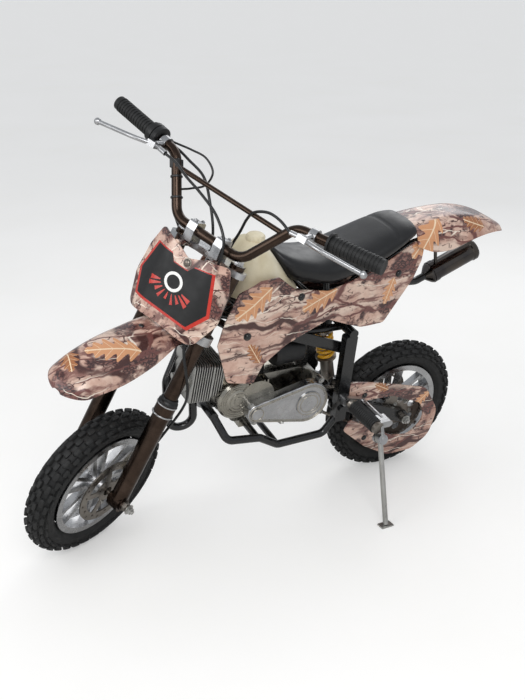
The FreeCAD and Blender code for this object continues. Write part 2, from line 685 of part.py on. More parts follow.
def shock_spring():
    """Coil spring between the plates."""
    way = unit(SHOCK_HIGH - SHOCK_LOW)
    length = SHOCK_LOW.distanceToPoint(SHOCK_HIGH)
    low, high, wire, coil = 72 + FIT, length - 16 - FIT, 4.5, 19.0
    turns = 5
    pitch = (high - low - 2 * wire) / turns
    helix = Part.makeHelix(pitch, high - low - 2 * wire, coil)
    profile = Part.Wire(Part.makeCircle(wire, V(coil, 0, 0), Y))
    spring = Part.Wire(helix).makePipeShell([profile], True, True)
    spring.Placement = FreeCAD.Placement(SHOCK_LOW + way * (low + wire),
                                         FreeCAD.Rotation(Z, way))
    return spring


# Engine

def engine_crankcase():
    """Main case: sloping box with ribs on its left face and a mounting foot."""
    case = side_slab([(300, 268, 26), (500, 282, 20), (536, 330, 16), (528, 414, 14),
                      (430, 404, 20), (330, 404, 30), (266, 372, 30), (262, 300, 26)], -58, 36)
    nose = side_slab([(500, 329.3, 2), (566, 329.3, 8), (556, 450, 8), (500, 430, 8)], -42, 36)
    ribs = [Part.makeBox(3.5, 26, 96, V(424 + 9 * index, 35, 308)) for index in range(7)]
    drum = rod(V(452, 34, 358), V(452, 61.9, 358), 46)
    foot = Part.makeBox(60, 70, 26, V(420, -35, 259 + FIT))
    ahead = Part.makeBox(200, 200, 200, V(0, -100, -100))
    ahead.rotate(V(0, 0, 0), Y, -HEAD_TILT)
    ahead.translate(CYLINDER_AT)
    return fused(case, nose, drum, foot, *ribs).cut(ahead).cut(flywheel_cover())


CYLINDER_AT = V(536, 0, 414)


def flywheel_cover():
    at = V(500, 0, 358)
    return turned([(0, 36), (52, 36), (52, 54), (47, 60), (30, 60), (27, 62), (0, 62)], at)


def drive_cover():
    """Oblong cover with a raised boss at each shaft and bolt lugs round its edge."""
    low, high = 62.0 + FIT, 86.0
    shell = belt([(461, 328, 25), (SPROCKET_X + 2, 326, 56)], lambda u, v: V(u, low, v), Y * (high - low))
    shell = shell.makeFillet(4, [e for e in shell.Edges
                                 if all(abs(v.Point.y - high) < 1e-6 for v in e.Vertexes)])
    bosses = [rod(V(461, high - 1, 328), V(461, high + 3, 328), 17),
              rod(V(SPROCKET_X + 2, high - 1, 326), V(SPROCKET_X + 2, high + 3, 326), 34)]
    lugs = [rod(V(x, low, z), V(x, high - 8, z), 8)
            for x, z in ((463, 300), (476, 350), (404, 378), (286, 380), (278, 290), (390, 287))]
    return largest(fused(shell, *bosses, *lugs))


FIN_COUNT, FIN_PITCH, FIN_THICK = 14, 6.0, 2.4
HEAD_TILT = 6.0


def engine_cylinder():
    """Forward-lying cylinder and head with square cooling fins across it."""
    core = rod(V(0, 0, 0), V(88, 0, 0), 40)
    fins = []
    for index in range(FIN_COUNT):
        x = 2 + FIN_PITCH * index
        half = 46 if index < 5 else 52
        fins.append(front_slab([(-half, -half, 10), (half, -half, 10), (half, half, 10),
                                (-half, half, 10)], x, x + FIN_THICK))
    head = fused(core, *fins, rod(V(80, 0, 0), V(92, 0, 0), 24))
    plug = rod(V(92, 0, 0), V(112, 0, 0), 7)
    port = rod(V(34, -10, -30), V(40, -10, -60), 16)
    head = fused(head, plug, port)
    head.rotate(V(0, 0, 0), Y, -HEAD_TILT)
    head.translate(CYLINDER_AT)
    return largest(head.cut(flywheel_cover()))


def carburettor():
    """Carburettor with its intake stub, and the round filter can behind it."""
    body = rod(V(470, 8, 452), V(396, 8, 446), 17)
    bowl = rod(V(432, 8, 404), V(432, 8, 452), 19)
    flange = rod(V(474, 8, 452.5), V(480, 8, 453), 24)
    stub = rod(V(468, 8, 452), V(552, 0, 436), 14)
    top = rod(V(432, 8, 452), V(436, 8, 492), 11)
    can = turned([(0, -40), (34, -40), (38, -34), (38, 34), (34, 40), (0, 40)],
                 V(356, 8, 447), X, Y)
    whole = fused(body, bowl, flange, stub, top, can)
    return largest(whole.cut(engine_crankcase()).cut(engine_cylinder()))


MUFFLER_AT = V(-84, -56, 541)
MUFFLER_RISE = 22.0           # degrees above level
MUFFLER_LENGTH = 164.0
HEADER = ((588, -10, 362), (580, -12, 264), (642, -20, 258), (646, -34, 390), (584, -76, 478),
          (420, -80, 548), (220, -70, 544), (60, -60, 540), (-58, -56, 530.5))


def muffler_way():
    rise = math.radians(MUFFLER_RISE)
    return V(-math.cos(rise), 0, math.sin(rise))


def exhaust_header():
    """Pipe that loops down from the head, then runs back inside the right side panel."""
    route = HEADER + (tuple(MUFFLER_AT + muffler_way() * 4),)
    return cable([V(*p) for p in route], 10, 30).cut(engine_cylinder()).cut(muffler_can())


def muffler_can():
    """Turned silencer can with rolled ends and an open spout."""
    length = MUFFLER_LENGTH
    rise = muffler_way()
    across = V(rise.z, 0, -rise.x)
    return turned([(0, 0), (12, 0), (24, 12), (27, 16), (27, length - 20), (29, length - 18),
                   (29, length - 8), (26, length - 3), (16, length), (11, length),
                   (11, length - 60), (0, length - 60)], MUFFLER_AT, rise, across)


def muffler():
    """Silencer with a band clamp and a strap up to the seat rails."""
    way = muffler_way()
    band = rod(MUFFLER_AT + way * 20, MUFFLER_AT + way * 34, 29)
    strap = rod(MUFFLER_AT + way * 27 + V(0, 6, 24), V(-64, -34, 716), 4.5)
    return largest(fused(muffler_can(), band, strap).cut(frame_subframe()))


# Drive

def sprocket(x, z, radius, teeth, thick, bore):
    """Toothed disc whose teeth stay under the chain's plates."""
    root = radius - 2.8
    tip = radius + 1.2
    points = []
    for index in range(teeth):
        for share, r in ((-0.25, root), (-0.1, tip), (0.1, tip), (0.25, root)):
            angle = 2 * math.pi * (index + share) / teeth
            points.append(V(x + r * math.sin(angle), CHAIN_Y - thick / 2, z + r * math.cos(angle)))
    disc = Part.Face(Part.makePolygon(points + points[:1])).extrude(Y * thick)
    return disc.cut(rod(V(x, CHAIN_Y - 10, z), V(x, CHAIN_Y + 10, z), bore))


def front_sprocket():
    shaft = rod(V(SPROCKET_X, 40.3, SPROCKET_Z), V(SPROCKET_X, 60, SPROCKET_Z), 9)
    return fused(sprocket(SPROCKET_X, SPROCKET_Z, FRONT_SPROCKET, 9, 3, 8), shaft)


def rear_sprocket():
    """Rear sprocket on its carrier, with lightening holes."""
    disc = sprocket(0, TYRE_RADIUS, REAR_SPROCKET, 34, 3, 12)
    holes = []
    for index in range(6):
        angle = math.radians(60 * index)
        spot = V(44 * math.sin(angle), CHAIN_Y - 10, TYRE_RADIUS + 44 * math.cos(angle))
        holes.append(Part.makeCylinder(12, 20, spot, Y))
    carrier = turned([(AXLE_RADIUS + FIT, HUB_HALF + FIT), (30, HUB_HALF + FIT),
                      (30, CHAIN_Y - 1), (AXLE_RADIUS + FIT, CHAIN_Y - 1)], REAR_AXLE)
    return fused(disc.cut(Part.makeCompound(holes)), carrier)


def chain():
    """Closed run of side plates and rollers round both sprockets."""
    circles = [(SPROCKET_X, SPROCKET_Z, FRONT_SPROCKET), (0.0, TYRE_RADIUS, REAR_SPROCKET)]

    def band(grow, shrink, low, high):
        big = belt([(u, v, r + grow) for u, v, r in circles], lambda u, v: V(u, low, v),
                   Y * (high - low))
        small = belt([(u, v, r - shrink) for u, v, r in circles], lambda u, v: V(u, low - 1, v),
                     Y * (high - low + 2))
        return big.cut(small)
    rows = [band(CHAIN_HALF_HEIGHT, CHAIN_HALF_HEIGHT, CHAIN_Y + s * 4.5 - 1.4, CHAIN_Y + s * 4.5 + 1.4)
            for s in (-1, 1)]
    rollers = band(CHAIN_HALF_HEIGHT, -1.6, CHAIN_Y - 4, CHAIN_Y + 4)
    return fused(rows[0], rows[1], rollers)


# Bodywork

CAP_AT = V(464, 0, 748)


def fuel_tank():
    """Moulded tank between the shrouds, cut back behind the head tube and over the backbone."""
    side = side_slab([(536, 640, 10), (518, 690, 20), (490, 746, 12), (452, 752, 12),
                      (433.3, 738, 4), (433.3, 690, 2), (398, 652.5, 10), (372, 641, 6),
                      (372, 612, 10), (536, 622, 8)], -90, 90)
    plan = top_slab([(545, -34, 20), (545, 34, 20), (510, 76, 30), (430, 78, 40), (360, 58, 20),
                     (360, -58, 20), (430, -78, 40), (510, -76, 30)], 580, 800)
    front = front_slab([(-80, 600, 10), (-80, 702, 46), (-34, 766, 40), (34, 766, 40),
                        (80, 702, 46), (80, 600, 10)], 340, 600)
    tunnel = tube(spine_route(), FRAME_TUBE + 2, 60)
    head = rod(steer_point(400, 0, 0), steer_point(700, 0, 0), HEAD_RADIUS + 6)
    tank = side.common(plan).common(front)
    for piece in (head, tunnel, fuel_cap(), seat()):
        tank = tank.cut(piece)
    return largest(tank)


def fuel_cap():
    return turned([(0, 0), (27, 0), (28, 12), (25, 20), (14, 26), (0, 27)], CAP_AT, Z, X)


# Seat sections: x, half width, top, bottom, top corner radius
SEAT = ((433, 34, 732, 689.5, 16), (398, 62, 712, 653, 22), (300, 82, 690, 634, 24),
        (180, 86, 714, 666, 26), (56, 66, 750, 722, 12))


def seat():
    """Long dished saddle, a loft of round-topped sections."""
    wires = []
    for x, half, top, bottom, radius in SEAT:
        corners = [(-half + 6, bottom, 0), (half - 6, bottom, 0), (half, bottom + 8, 4),
                   (half - 4, top, radius), (-half + 4, top, radius), (-half, bottom + 8, 4)]
        wires.append(outline(corners, lambda u, v, x=x: V(x, u, v)))
    return loft(wires)


# Side panel outline from the side: x, z, corner radius
PANEL_OUTLINE = ((542, 668, 12), (574, 600, 20), (588, 550, 10), (564, 458, 12), (500, 446, 10),
                 (477, 486, 12), (417, 521, 30), (301, 560, 14), (244, 536, 30), (206, 522, 20),
                 (138, 520, 14), (58, 617, 14), (38, 660, 20), (34, 700, 20), (62, 712, 6),
                 (176, 662, 30), (302, 630, 40), (398, 652, 30), (444, 690, 10), (490, 690, 10))
# Its course seen from above: x, y, bend radius
PANEL_COURSE = ((640, 96, 0), (590, 114, 60), (510, 122, 60), (400, 110, 60), (300, 102, 60),
                (180, 98, 60), (60, 86, 60), (-20, 80, 0))
PANEL_LOW, PANEL_HIGH, PANEL_LEAN, PANEL_THICK = 430.0, 730.0, 0.09, 3.2


def panel_sheet(inside, outside):
    """Curved, inward-leaning sheet between two offsets from the panel's course."""
    outer = [(x, y + outside, r) for x, y, r in PANEL_COURSE]
    inner = [(x, y + inside, r) for x, y, r in reversed(PANEL_COURSE)]
    rise = PANEL_HIGH - PANEL_LOW
    return prism(outer + inner, lambda x, y: V(x, y, PANEL_LOW), V(0, -PANEL_LEAN * rise, rise))


def side_panel():
    """Moulded side cover cut from the sheet, with bosses that reach in to the frame."""
    cover = panel_sheet(-PANEL_THICK, 0).common(side_slab(PANEL_OUTLINE, 40, 140))
    beyond = panel_sheet(-1, 90)
    bosses = [rod(V(x, 30, z), V(x, 130, z), 7).cut(beyond) for x, z in PANEL_BOSSES]
    whole = fused(cover, *bosses)
    for piece in (frame_subframe(), frame_spine(), fuel_tank(), seat()):
        whole = whole.cut(piece)
    return largest(whole)


# Tail sections: x, half width, top, drop of the sides
TAIL = ((62, 72, 746, 30), (-36, 74, 756, 82), (-133, 57, 741, 44), (-214, 30, 694, 22))


def tail_fender():
    """Upswept tail that closes the seat and covers the rear wheel."""
    thick = 3.2
    sections = []
    for x, half, top, drop in TAIL:
        crown = half * 0.72
        outer = [(-half, top - drop), (-half + 3, top - 14), (-crown, top), (crown, top),
                 (half - 3, top - 14), (half, top - drop)]
        inner = [(half - thick, top - drop), (half - 3 - thick, top - 15), (crown - 2, top - thick),
                 (-crown + 2, top - thick), (-half + 3 + thick, top - 15),
                 (-half + thick, top - drop)]
        ring = [V(x, y, z) for y, z in outer + inner]
        sections.append(Part.makePolygon(ring + ring[:1]))
    return largest(loft(sections).cut(seat()))


# Chain guard: outer and inner edge of the open C, seen from the left (x, z, radius)
GUARD_OUTLINE = ((200, 356, 8), (143, 343, 60), (45, 314, 60), (-50, 284, 50), (-104, 200, 60),
                 (-92, 120, 50), (-40, 84, 40), (40, 86, 60), (122, 136, 50), (196, 204, 8),
                 (182, 238, 8), (98, 184, 40), (36, 150, 40), (-20, 138, 30), (-66, 180, 40),
                 (-40, 238, 40), (60, 284, 50), (176, 290, 20), (198, 312, 8))


def chain_guard():
    """C-shaped cover plate over both chain runs, standing off the swingarm on two ears."""
    rail = ARM_Y + ARM_HALF
    plate = side_slab(GUARD_OUTLINE, rail + 10, rail + 14)
    # Boss spots: x, z on the guard's inner edge, each on an ear of the swingarm's rail
    ears = [belt([(x, z, 7), (x + dx, z + dz, 8)], lambda u, v: V(u, rail, v), Y * 10.5)
            for x, z, dx, dz in ((150, 306, 4, -32), (128, 170, 6, 54))]
    return fused(plate, *ears)


def footpeg(side):
    """Stout peg with an alloy end, on an angled lug from the rear post."""
    sign = 1 if side > 0 else -1
    start, end = V(197, sign * 100, 301), V(182, sign * 198, 290)
    way = unit(end - start)
    barrel = rod(start, end, 16)
    ribs = [rod(start + way * (14 + 8 * i), start + way * (18 + 8 * i), 17.2) for i in range(9)]
    lug = rod(V(221, sign * CRADLE_Y, 316), start + way * 10, 10)
    return fused(barrel, lug, *ribs).cut(frame_cradle())


def bike_up(world):
    """World up direction in the bike's own frame."""
    return world.Rotation.inverted().multVec(Z)


def stand_geometry(world):
    """Pivot, leg direction, fold axis and leg length that puts the pad on the floor."""
    pivot = V(*STAND_PIVOT)
    splay = math.radians(STAND_SPLAY)
    up = bike_up(world)
    floor = -world.Base.dot(Z)
    across = V(0, math.sin(splay), -math.cos(splay))
    drop = (floor + PAD[2] - pivot.dot(up)) / across.dot(up)
    way = unit(across * drop + X * STAND_FORWARD)
    length = (floor + PAD[2] - pivot.dot(up)) / way.dot(up)
    fold = unit(V(0, math.cos(splay), math.sin(splay)))
    return pivot, way, fold, length


def side_stand(world):
    """Rod with a hinge eye at the top and a flat pad at the floor."""
    pivot, way, fold, length = stand_geometry(world)
    up = bike_up(world)
    foot = pivot + way * length
    leg = rod(pivot + way * 10, foot, STAND_RADIUS)
    eye = rod(pivot - fold * 7, pivot + fold * 7, 12).cut(rod(pivot - fold * 20, pivot + fold * 20, 5))
    long_way = unit(X - up * X.dot(up))
    wide_way = up.cross(long_way)
    corner_at = foot - up * PAD[2] - long_way * (PAD[0] / 2) - wide_way * (PAD[1] / 2)
    pad = Part.makePolygon([corner_at, corner_at + long_way * PAD[0],
                            corner_at + long_way * PAD[0] + wide_way * PAD[1],
                            corner_at + wide_way * PAD[1], corner_at])
    pad = Part.Face(pad).extrude(up * PAD[2])
    stand = fused(leg, eye, pad)
    return stand


def stand_bracket(world):
    """Alloy arm behind the left peg whose outer block carries the stand's clevis and bolt."""
    pivot, _, fold, _ = stand_geometry(world)
    bolt = rod(pivot - fold * 16, pivot + fold * 16, 4.7)
    cheeks = [rod(pivot + fold * (s * 11.5) - fold * 3, pivot + fold * (s * 11.5) + fold * 3, 13)
              for s in (-1, 1)]
    rise = fold.cross(X) * -1
    ears = [rod(pivot + fold * (s * 12.9), pivot + fold * (s * 12.9) + rise * 46, 4.6) for s in (-1, 1)]
    block = belt([(184, 296, 9), (150, 296, 9)], lambda u, v: V(u, 164, v), Y * 32)
    arm = belt([(218, 314, 12), (170, 304, 8)], lambda u, v: V(u, CRADLE_Y + POST_RADIUS - 1, v), Y * 12)
    link = rod(V(166, 96, 303), V(160, 176, 298), 8)
    return fused(block, bolt, arm, link, *cheeks, *ears).cut(footpeg(1)).cut(frame_cradle())


# Putting the bike on its wheels and stand

def lowest(points, placement):
    return min(placement.multVec(p).z for p in points)


def parked():
    """Placement of the leaning bike, levelled so that both tyres touch the floor."""
    rear = [v.Point for v in tyre(REAR_AXLE).Vertexes]
    turn = steering()
    front = [turn.multVec(v.Point) for v in tyre(FRONT_AXLE).Vertexes]
    lean = FreeCAD.Rotation(X, -LEAN)
    pitch = 0.0
    for _ in range(8):
        world = FreeCAD.Placement(V(0, 0, 0), lean * FreeCAD.Rotation(Y, pitch))
        gap = lowest(front, world) - lowest(rear, world)
        pitch += math.degrees(gap / WHEELBASE)
    world = FreeCAD.Placement(V(0, 0, -lowest(rear, world)), world.Rotation)
    return world


def steering():
    """Placement that turns the steered parts to the left stop."""
    return FreeCAD.Placement(V(0, 0, 0), FreeCAD.Rotation(STEER_AXIS, STEER_STOP), STEER_FOOT)


def frame_pieces(world):
    subframe = largest(frame_subframe().cut(frame_spine()).cut(tail_fender()).cut(seat()))
    return {
        "frame_spine": frame_spine(),
        "frame_cradle": frame_cradle().cut(frame_spine()).cut(engine_crankcase()),
        "frame_subframe": subframe,
        "swingarm": swingarm().cut(shock_body()),
        "shock_body": shock_body(),
        "shock_spring": shock_spring(),
        "engine_crankcase": engine_crankcase(),
        "engine_cylinder": engine_cylinder(),
        "flywheel_cover": flywheel_cover(),
        "drive_cover": drive_cover(),
        "carburettor": carburettor(),
        "exhaust_header": exhaust_header(),
        "muffler": muffler(),
        "front_sprocket": front_sprocket(),
        "drive_chain": chain(),
        "fuel_tank": fuel_tank(),
        "fuel_cap": fuel_cap(),
        "seat": seat(),
        "left_side_panel": side_panel(),
        "right_side_panel": mirrored(side_panel()),
        "tail_fender": tail_fender(),
        "chain_guard": chain_guard(),
        "left_footpeg": footpeg(1),
        "right_footpeg": footpeg(-1),
        "stand_bracket": largest(stand_bracket(world)),
        "rear_axle": axle(REAR_AXLE, ARM_Y + ARM_HALF),
    }


def steer_pieces():
    return {
        "lower_clamp": fused(clamp_plate(LOWER_CLAMP[0], LOWER_CLAMP[1], 26), steering_stem()),
        "upper_clamp": clamp_plate(UPPER_CLAMP[0], UPPER_CLAMP[1], 24),
        "fork_tubes": Part.makeCompound([fork_tube(LEG_Y), fork_tube(-LEG_Y)]),
        "fork_legs": Part.makeCompound([fork_leg(LEG_Y), fork_leg(-LEG_Y)]),
        "bar_clamps": Part.makeCompound(bar_clamps()),
        "handlebar": handlebar(),
        "grips": Part.makeCompound([grip(1), grip(-1)]),
        "levers": Part.makeCompound([lever(1), lever(-1)]),
        "throttle_housing": throttle_housing(),
        "control_cables": Part.makeCompound(control_cables()),
        "number_plate": number_plate(),
        "front_fender": front_fender(),
        "front_caliper": front_caliper(),
        "front_axle": axle(FRONT_AXLE, LEG_Y + LEG_RADIUS + 0.5),
    }


def front_wheel_pieces():
    return {"front_tyre": tyre(FRONT_AXLE), "front_rim": rim(FRONT_AXLE),
            "front_disc": brake_disc(FRONT_AXLE, DISC_Y)}


def rear_wheel_pieces():
    return {"rear_tyre": tyre(REAR_AXLE), "rear_rim": rim(REAR_AXLE),
            "rear_disc": brake_disc(REAR_AXLE, REAR_DISC_Y), "rear_sprocket": rear_sprocket()}


def model():
    """Every body's pieces in the parked pose, and the placement that put them there."""
    world = parked()
    turned_world = world.multiply(steering())
    bodies = [("frame", frame_pieces(world), world), ("steering", steer_pieces(), turned_world),
              ("front_wheel", front_wheel_pieces(), turned_world),
              ("rear_wheel", rear_wheel_pieces(), world),
              ("side_stand", {"side_stand": side_stand(world)}, world)]
    placed = {}
    for body, pieces, placement in bodies:
        for name, shape in pieces.items():
            placed[name] = (body, shape.transformed(placement.toMatrix(), True))
    box = FreeCAD.BoundBox()
    for _, shape in placed.values():
        box.add(shape.optimalBoundingBox(False))
    shift = V(-(box.XMin + box.XMax) / 2, -(box.YMin + box.YMax) / 2, -box.ZMin)
    for _, shape in placed.values():
        shape.translate(shift)
    return placed, world, shift


def build():
    os.makedirs("parts", exist_ok=True)
    placed, _, _ = model()
    for name, (_, shape) in placed.items():
        shape.exportStep("parts/" + name + ".step")


build()
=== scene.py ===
"""Looks of a mini dirt bike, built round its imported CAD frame.

Lengths in the tables are millimetres in the upright bike's own frame: X the way it heads,
Y the rider's left, Z up, rear axle above the origin. Steered pieces are given with the
bars straight. `Stance` carries both into the parked row frame in metres.
"""
from __future__ import annotations

import json
import logging
import math
from dataclasses import dataclass, field
from enum import Enum
from typing import Any, Callable, Sequence

import bmesh
import bpy
import numpy as np
from mathutils import Matrix, Vector
from mathutils.bvhtree import BVHTree

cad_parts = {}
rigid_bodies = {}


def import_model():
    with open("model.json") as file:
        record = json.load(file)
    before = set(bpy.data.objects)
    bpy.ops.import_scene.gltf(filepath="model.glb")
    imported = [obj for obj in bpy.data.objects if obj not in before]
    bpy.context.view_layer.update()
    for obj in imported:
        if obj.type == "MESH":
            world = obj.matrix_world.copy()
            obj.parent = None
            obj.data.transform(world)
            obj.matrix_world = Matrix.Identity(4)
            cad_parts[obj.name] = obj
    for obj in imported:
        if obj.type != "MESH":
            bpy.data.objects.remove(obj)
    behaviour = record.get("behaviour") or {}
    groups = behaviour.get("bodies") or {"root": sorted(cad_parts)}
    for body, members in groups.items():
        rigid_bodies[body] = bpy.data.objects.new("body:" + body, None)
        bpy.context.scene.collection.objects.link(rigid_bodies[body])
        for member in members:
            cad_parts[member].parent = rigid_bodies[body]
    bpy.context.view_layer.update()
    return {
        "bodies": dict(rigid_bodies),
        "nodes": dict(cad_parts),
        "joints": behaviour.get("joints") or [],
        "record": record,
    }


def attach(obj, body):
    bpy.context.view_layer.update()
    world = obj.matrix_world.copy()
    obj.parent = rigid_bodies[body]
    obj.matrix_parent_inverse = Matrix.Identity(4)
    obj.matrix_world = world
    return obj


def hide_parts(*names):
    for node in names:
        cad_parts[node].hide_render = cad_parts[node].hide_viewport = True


log = logging.getLogger("dirt_bike")

WHEELBASE = 842.0
AXLE_HEIGHT = 193.0
RAKE = math.radians(25.0)
FORK_OFFSET = 44.5
LEAN = math.radians(10.5)
PITCH = math.radians(0.11702)
STEER_STOP = math.radians(26.0)
RIDE_HEIGHT = 0.602825
SHIFT = (-388.18984, -182.14636, 0.0)
# Camera fitted to the photograph: focal length and width in px, place in mm, angles in degrees
FOCAL_PX, PHOTO_WIDTH_PX, SENSOR_MM = 891.88, 525, 36.0
CAMERA_AT = (1343.407, 1823.009, 1240.34)
CAMERA_YAW, CAMERA_PITCH, CAMERA_ROLL = 28.052, 22.092, -0.355
# Rays that seat fasteners start this far to the side, in mm
SIDE_START = 300.0
PANEL_BOSSES = ((382, 632), (107, 640), (520, 566))

Profile = Sequence[tuple[float, float]]


def rotation(axis: Sequence[float], angle: float) -> np.ndarray:
    """Matrix that turns about an axis, by Rodrigues' formula.

    Args:
        axis: direction, of any length.
        angle: radians.

    Returns:
        The 3x3 matrix.
    """
    x, y, z = np.asarray(axis, float) / np.linalg.norm(axis)
    cross = np.array([[0, -z, y], [z, 0, -x], [-y, x, 0]])
    return np.eye(3) + math.sin(angle) * cross + (1 - math.cos(angle)) * cross @ cross


class Stance:
    """The parked pose: lean on the stand, small levelling pitch, and bars at the left stop."""

    axis = np.array([-math.sin(RAKE), 0.0, math.cos(RAKE)])
    ahead = np.array([math.cos(RAKE), 0.0, math.sin(RAKE)])
    foot = np.array([WHEELBASE, 0.0, AXLE_HEIGHT]) - ahead * FORK_OFFSET
    turn = rotation(axis, STEER_STOP)
    lean = rotation((1, 0, 0), -LEAN) @ rotation((0, 1, 0), PITCH)

    @classmethod
    def bike(cls, points: np.ndarray) -> np.ndarray:
        """Bike frame in mm to row frame in m, for an array whose last axis is x, y, z.

        Args:
            points: their places, last axis x, y, z in mm.

        Returns:
            The same array in m.
        """
        moved = np.asarray(points, float) @ cls.lean.T
        return (moved + (SHIFT[0], SHIFT[1], RIDE_HEIGHT)) / 1000

    @classmethod
    def steered(cls, points: np.ndarray) -> np.ndarray:
        """The same for pieces that turn with the bars.

        Args:
            points: their places in mm, bars straight.

        Returns:
            The array in m.
        """
        turned = (np.asarray(points, float) - cls.foot) @ cls.turn.T + cls.foot
        return cls.bike(turned)

    @classmethod
    def fork(cls, along: Any, ahead: Any, side: Any) -> np.ndarray:
        """Point given along and ahead of the steering axis and to its left, bars straight.

        Args:
            along: mm up the steering axis from abeam the axle.
            ahead: mm ahead of it.
            side: mm to its left.

        Returns:
            The points in mm, last axis x, y, z.
        """
        along, ahead, side = np.broadcast_arrays(along, ahead, side)
        point = cls.foot + along[..., None] * cls.axis + ahead[..., None] * cls.ahead
        return point + side[..., None] * np.array([0.0, 1.0, 0.0])


def linear(code: str) -> tuple[float, float, float, float]:
    """sRGB hex code to a linear RGBA tuple.

    Args:
        code: six hex digits after a hash.

    Returns:
        Red, green, blue and alpha.
    """
    values = [int(code[i:i + 2], 16) / 255 for i in (1, 3, 5)]
    red, green, blue = [v / 12.92 if v <= 0.04045 else ((v + 0.055) / 1.055) ** 2.4 for v in values]
    return red, green, blue, 1.0


def curve(at: Any, knots: Sequence[float], values: Sequence[float]) -> np.ndarray:
    """Smooth curve through knots, a cubic Hermite with centred slopes.

    Args:
        at: where it is wanted.
        knots: rising places.
        values: the values there.

    Returns:
        The values at those places.
    """
    knots_, values_ = np.asarray(knots, float), np.asarray(values, float)
    slopes = np.gradient(values_, knots_)
    at = np.clip(at, knots_[0], knots_[-1])
    low = np.clip(np.searchsorted(knots_, at, side="right") - 1, 0, len(knots_) - 2)
    span = knots_[low + 1] - knots_[low]
    t = (at - knots_[low]) / span
    start = (1 + 2 * t) * (1 - t) ** 2 * values_[low] + t * (1 - t) ** 2 * span * slopes[low]
    return start + t * t * (3 - 2 * t) * values_[low + 1] + t * t * (t - 1) * span * slopes[low + 1]


# Meshes

class Shell:
    """Grids of points in mm gathered into one mesh."""

    def __init__(self) -> None:
        """Starts empty."""
        self.points: list[np.ndarray] = []
        self.faces: list[list[int]] = []
        self.count = 0

    def add(self, grids: np.ndarray, closed_rows: bool = False, caps: bool = True) -> "Shell":
        """Adds one grid or many alike; columns always close on themselves.

        Args:
            grids: (rows, columns, 3) or (many, rows, columns, 3).
            closed_rows: the last row joins the first.
            caps: the end rows are filled, where the rows don't close.

        Returns:
            This shell.
        """
        grids = np.asarray(grids, float)
        grids = grids.reshape((-1,) + grids.shape[-3:])
        many, rows, columns, _ = grids.shape
        index = np.arange(rows * columns).reshape(rows, columns)
        upper = np.roll(index, -1, axis=0) if closed_rows else index[1:]
        lower = index if closed_rows else index[:-1]
        quads = np.stack([lower, np.roll(lower, -1, axis=1), np.roll(upper, -1, axis=1), upper], axis=-1)
        starts = self.count + np.arange(many) * rows * columns
        every = (quads.reshape(1, -1, 4) + starts[:, None, None]).reshape(-1, 4)
        self.faces += every.tolist()
        if caps and not closed_rows:
            self.faces += (index[0][::-1][None] + starts[:, None]).tolist()
            self.faces += (index[-1][None] + starts[:, None]).tolist()
        self.points.append(grids.reshape(-1, 3))
        self.count += many * rows * columns
        return self

    def piece(self, name: str, place: Callable[[np.ndarray], np.ndarray], finish: bpy.types.Material,
              sharp: float = 38.0) -> bpy.types.Object:
        """Makes the object: doubles merged, faces turned outwards, smooth up to an angle.

        Args:
            name: the piece's name.
            place: carries mm into the row frame.
            finish: its material.
            sharp: edges over this angle in degrees stay sharp.

        Returns:
            The object, linked to the scene.
        """
        mesh = bpy.data.meshes.new(name)
        mesh.from_pydata(place(np.concatenate(self.points)).tolist(), [], self.faces)
        work = bmesh.new()
        work.from_mesh(mesh)
        bmesh.ops.remove_doubles(work, verts=work.verts, dist=2e-6)
        bmesh.ops.recalc_face_normals(work, faces=work.faces)
        work.to_mesh(mesh)
        work.free()
        mesh.polygons.foreach_set("use_smooth", np.ones(len(mesh.polygons), bool))
        mesh.set_sharp_from_angle(angle=math.radians(sharp))
        mesh.materials.append(finish)
        piece = bpy.data.objects.new(name, mesh)
        bpy.context.scene.collection.objects.link(piece)
        return piece


def across(way: np.ndarray) -> tuple[np.ndarray, np.ndarray]:
    """Two unit directions square to a direction and to each other.

    Args:
        way: the direction.

    Returns:
        The two directions.
    """
    way = way / np.linalg.norm(way)
    other = np.array([0.0, 0.0, 1.0]) if abs(way[2]) < 0.9 else np.array([1.0, 0.0, 0.0])
    first = np.cross(other, way)
    first /= np.linalg.norm(first)
    return first, np.cross(way, first)


def lathe(centre: Sequence[float], way: Sequence[float], profile: Profile, sides: int = 24) -> np.ndarray:
    """Profile turned about an axis: point = centre + height x way + radius x (cos, sin).

    Args:
        centre: foot of the axis.
        way: the axis.
        profile: radius and height of each ring.
        sides: points round it.

    Returns:
        A (rings, sides, 3) grid.
    """
    direction = np.asarray(way, float) / np.linalg.norm(way)
    first, second = across(direction)
    angle = np.arange(sides) * 2 * math.pi / sides
    spokes = np.cos(angle)[:, None] * first + np.sin(angle)[:, None] * second
    table = np.asarray(profile, float)
    rings = table[:, 0, None, None] * spokes[None] + table[:, 1, None, None] * direction
    return np.asarray(centre, float) + rings


def sweep(path: np.ndarray, radius: Any, sides: int = 12) -> np.ndarray:
    """Round section carried along a path: each ring is square to the path's centred slope.

    Args:
        path: (n, 3) points.
        radius: one radius, or one for each point.
        sides: points round it.

    Returns:
        An (n, sides, 3) grid.
    """
    way = np.gradient(path, axis=0)
    way /= np.linalg.norm(way, axis=1, keepdims=True)
    level = np.cross(np.array([0.13, 0.31, 0.94]), way)
    level /= np.linalg.norm(level, axis=1, keepdims=True)
    rise = np.cross(way, level)
    angle = np.arange(sides) * 2 * math.pi / sides
    ring = np.cos(angle)[None, :, None] * level[:, None] + np.sin(angle)[None, :, None] * rise[:, None]
    return path[:, None] + ring * np.broadcast_to(radius, len(path))[:, None, None]


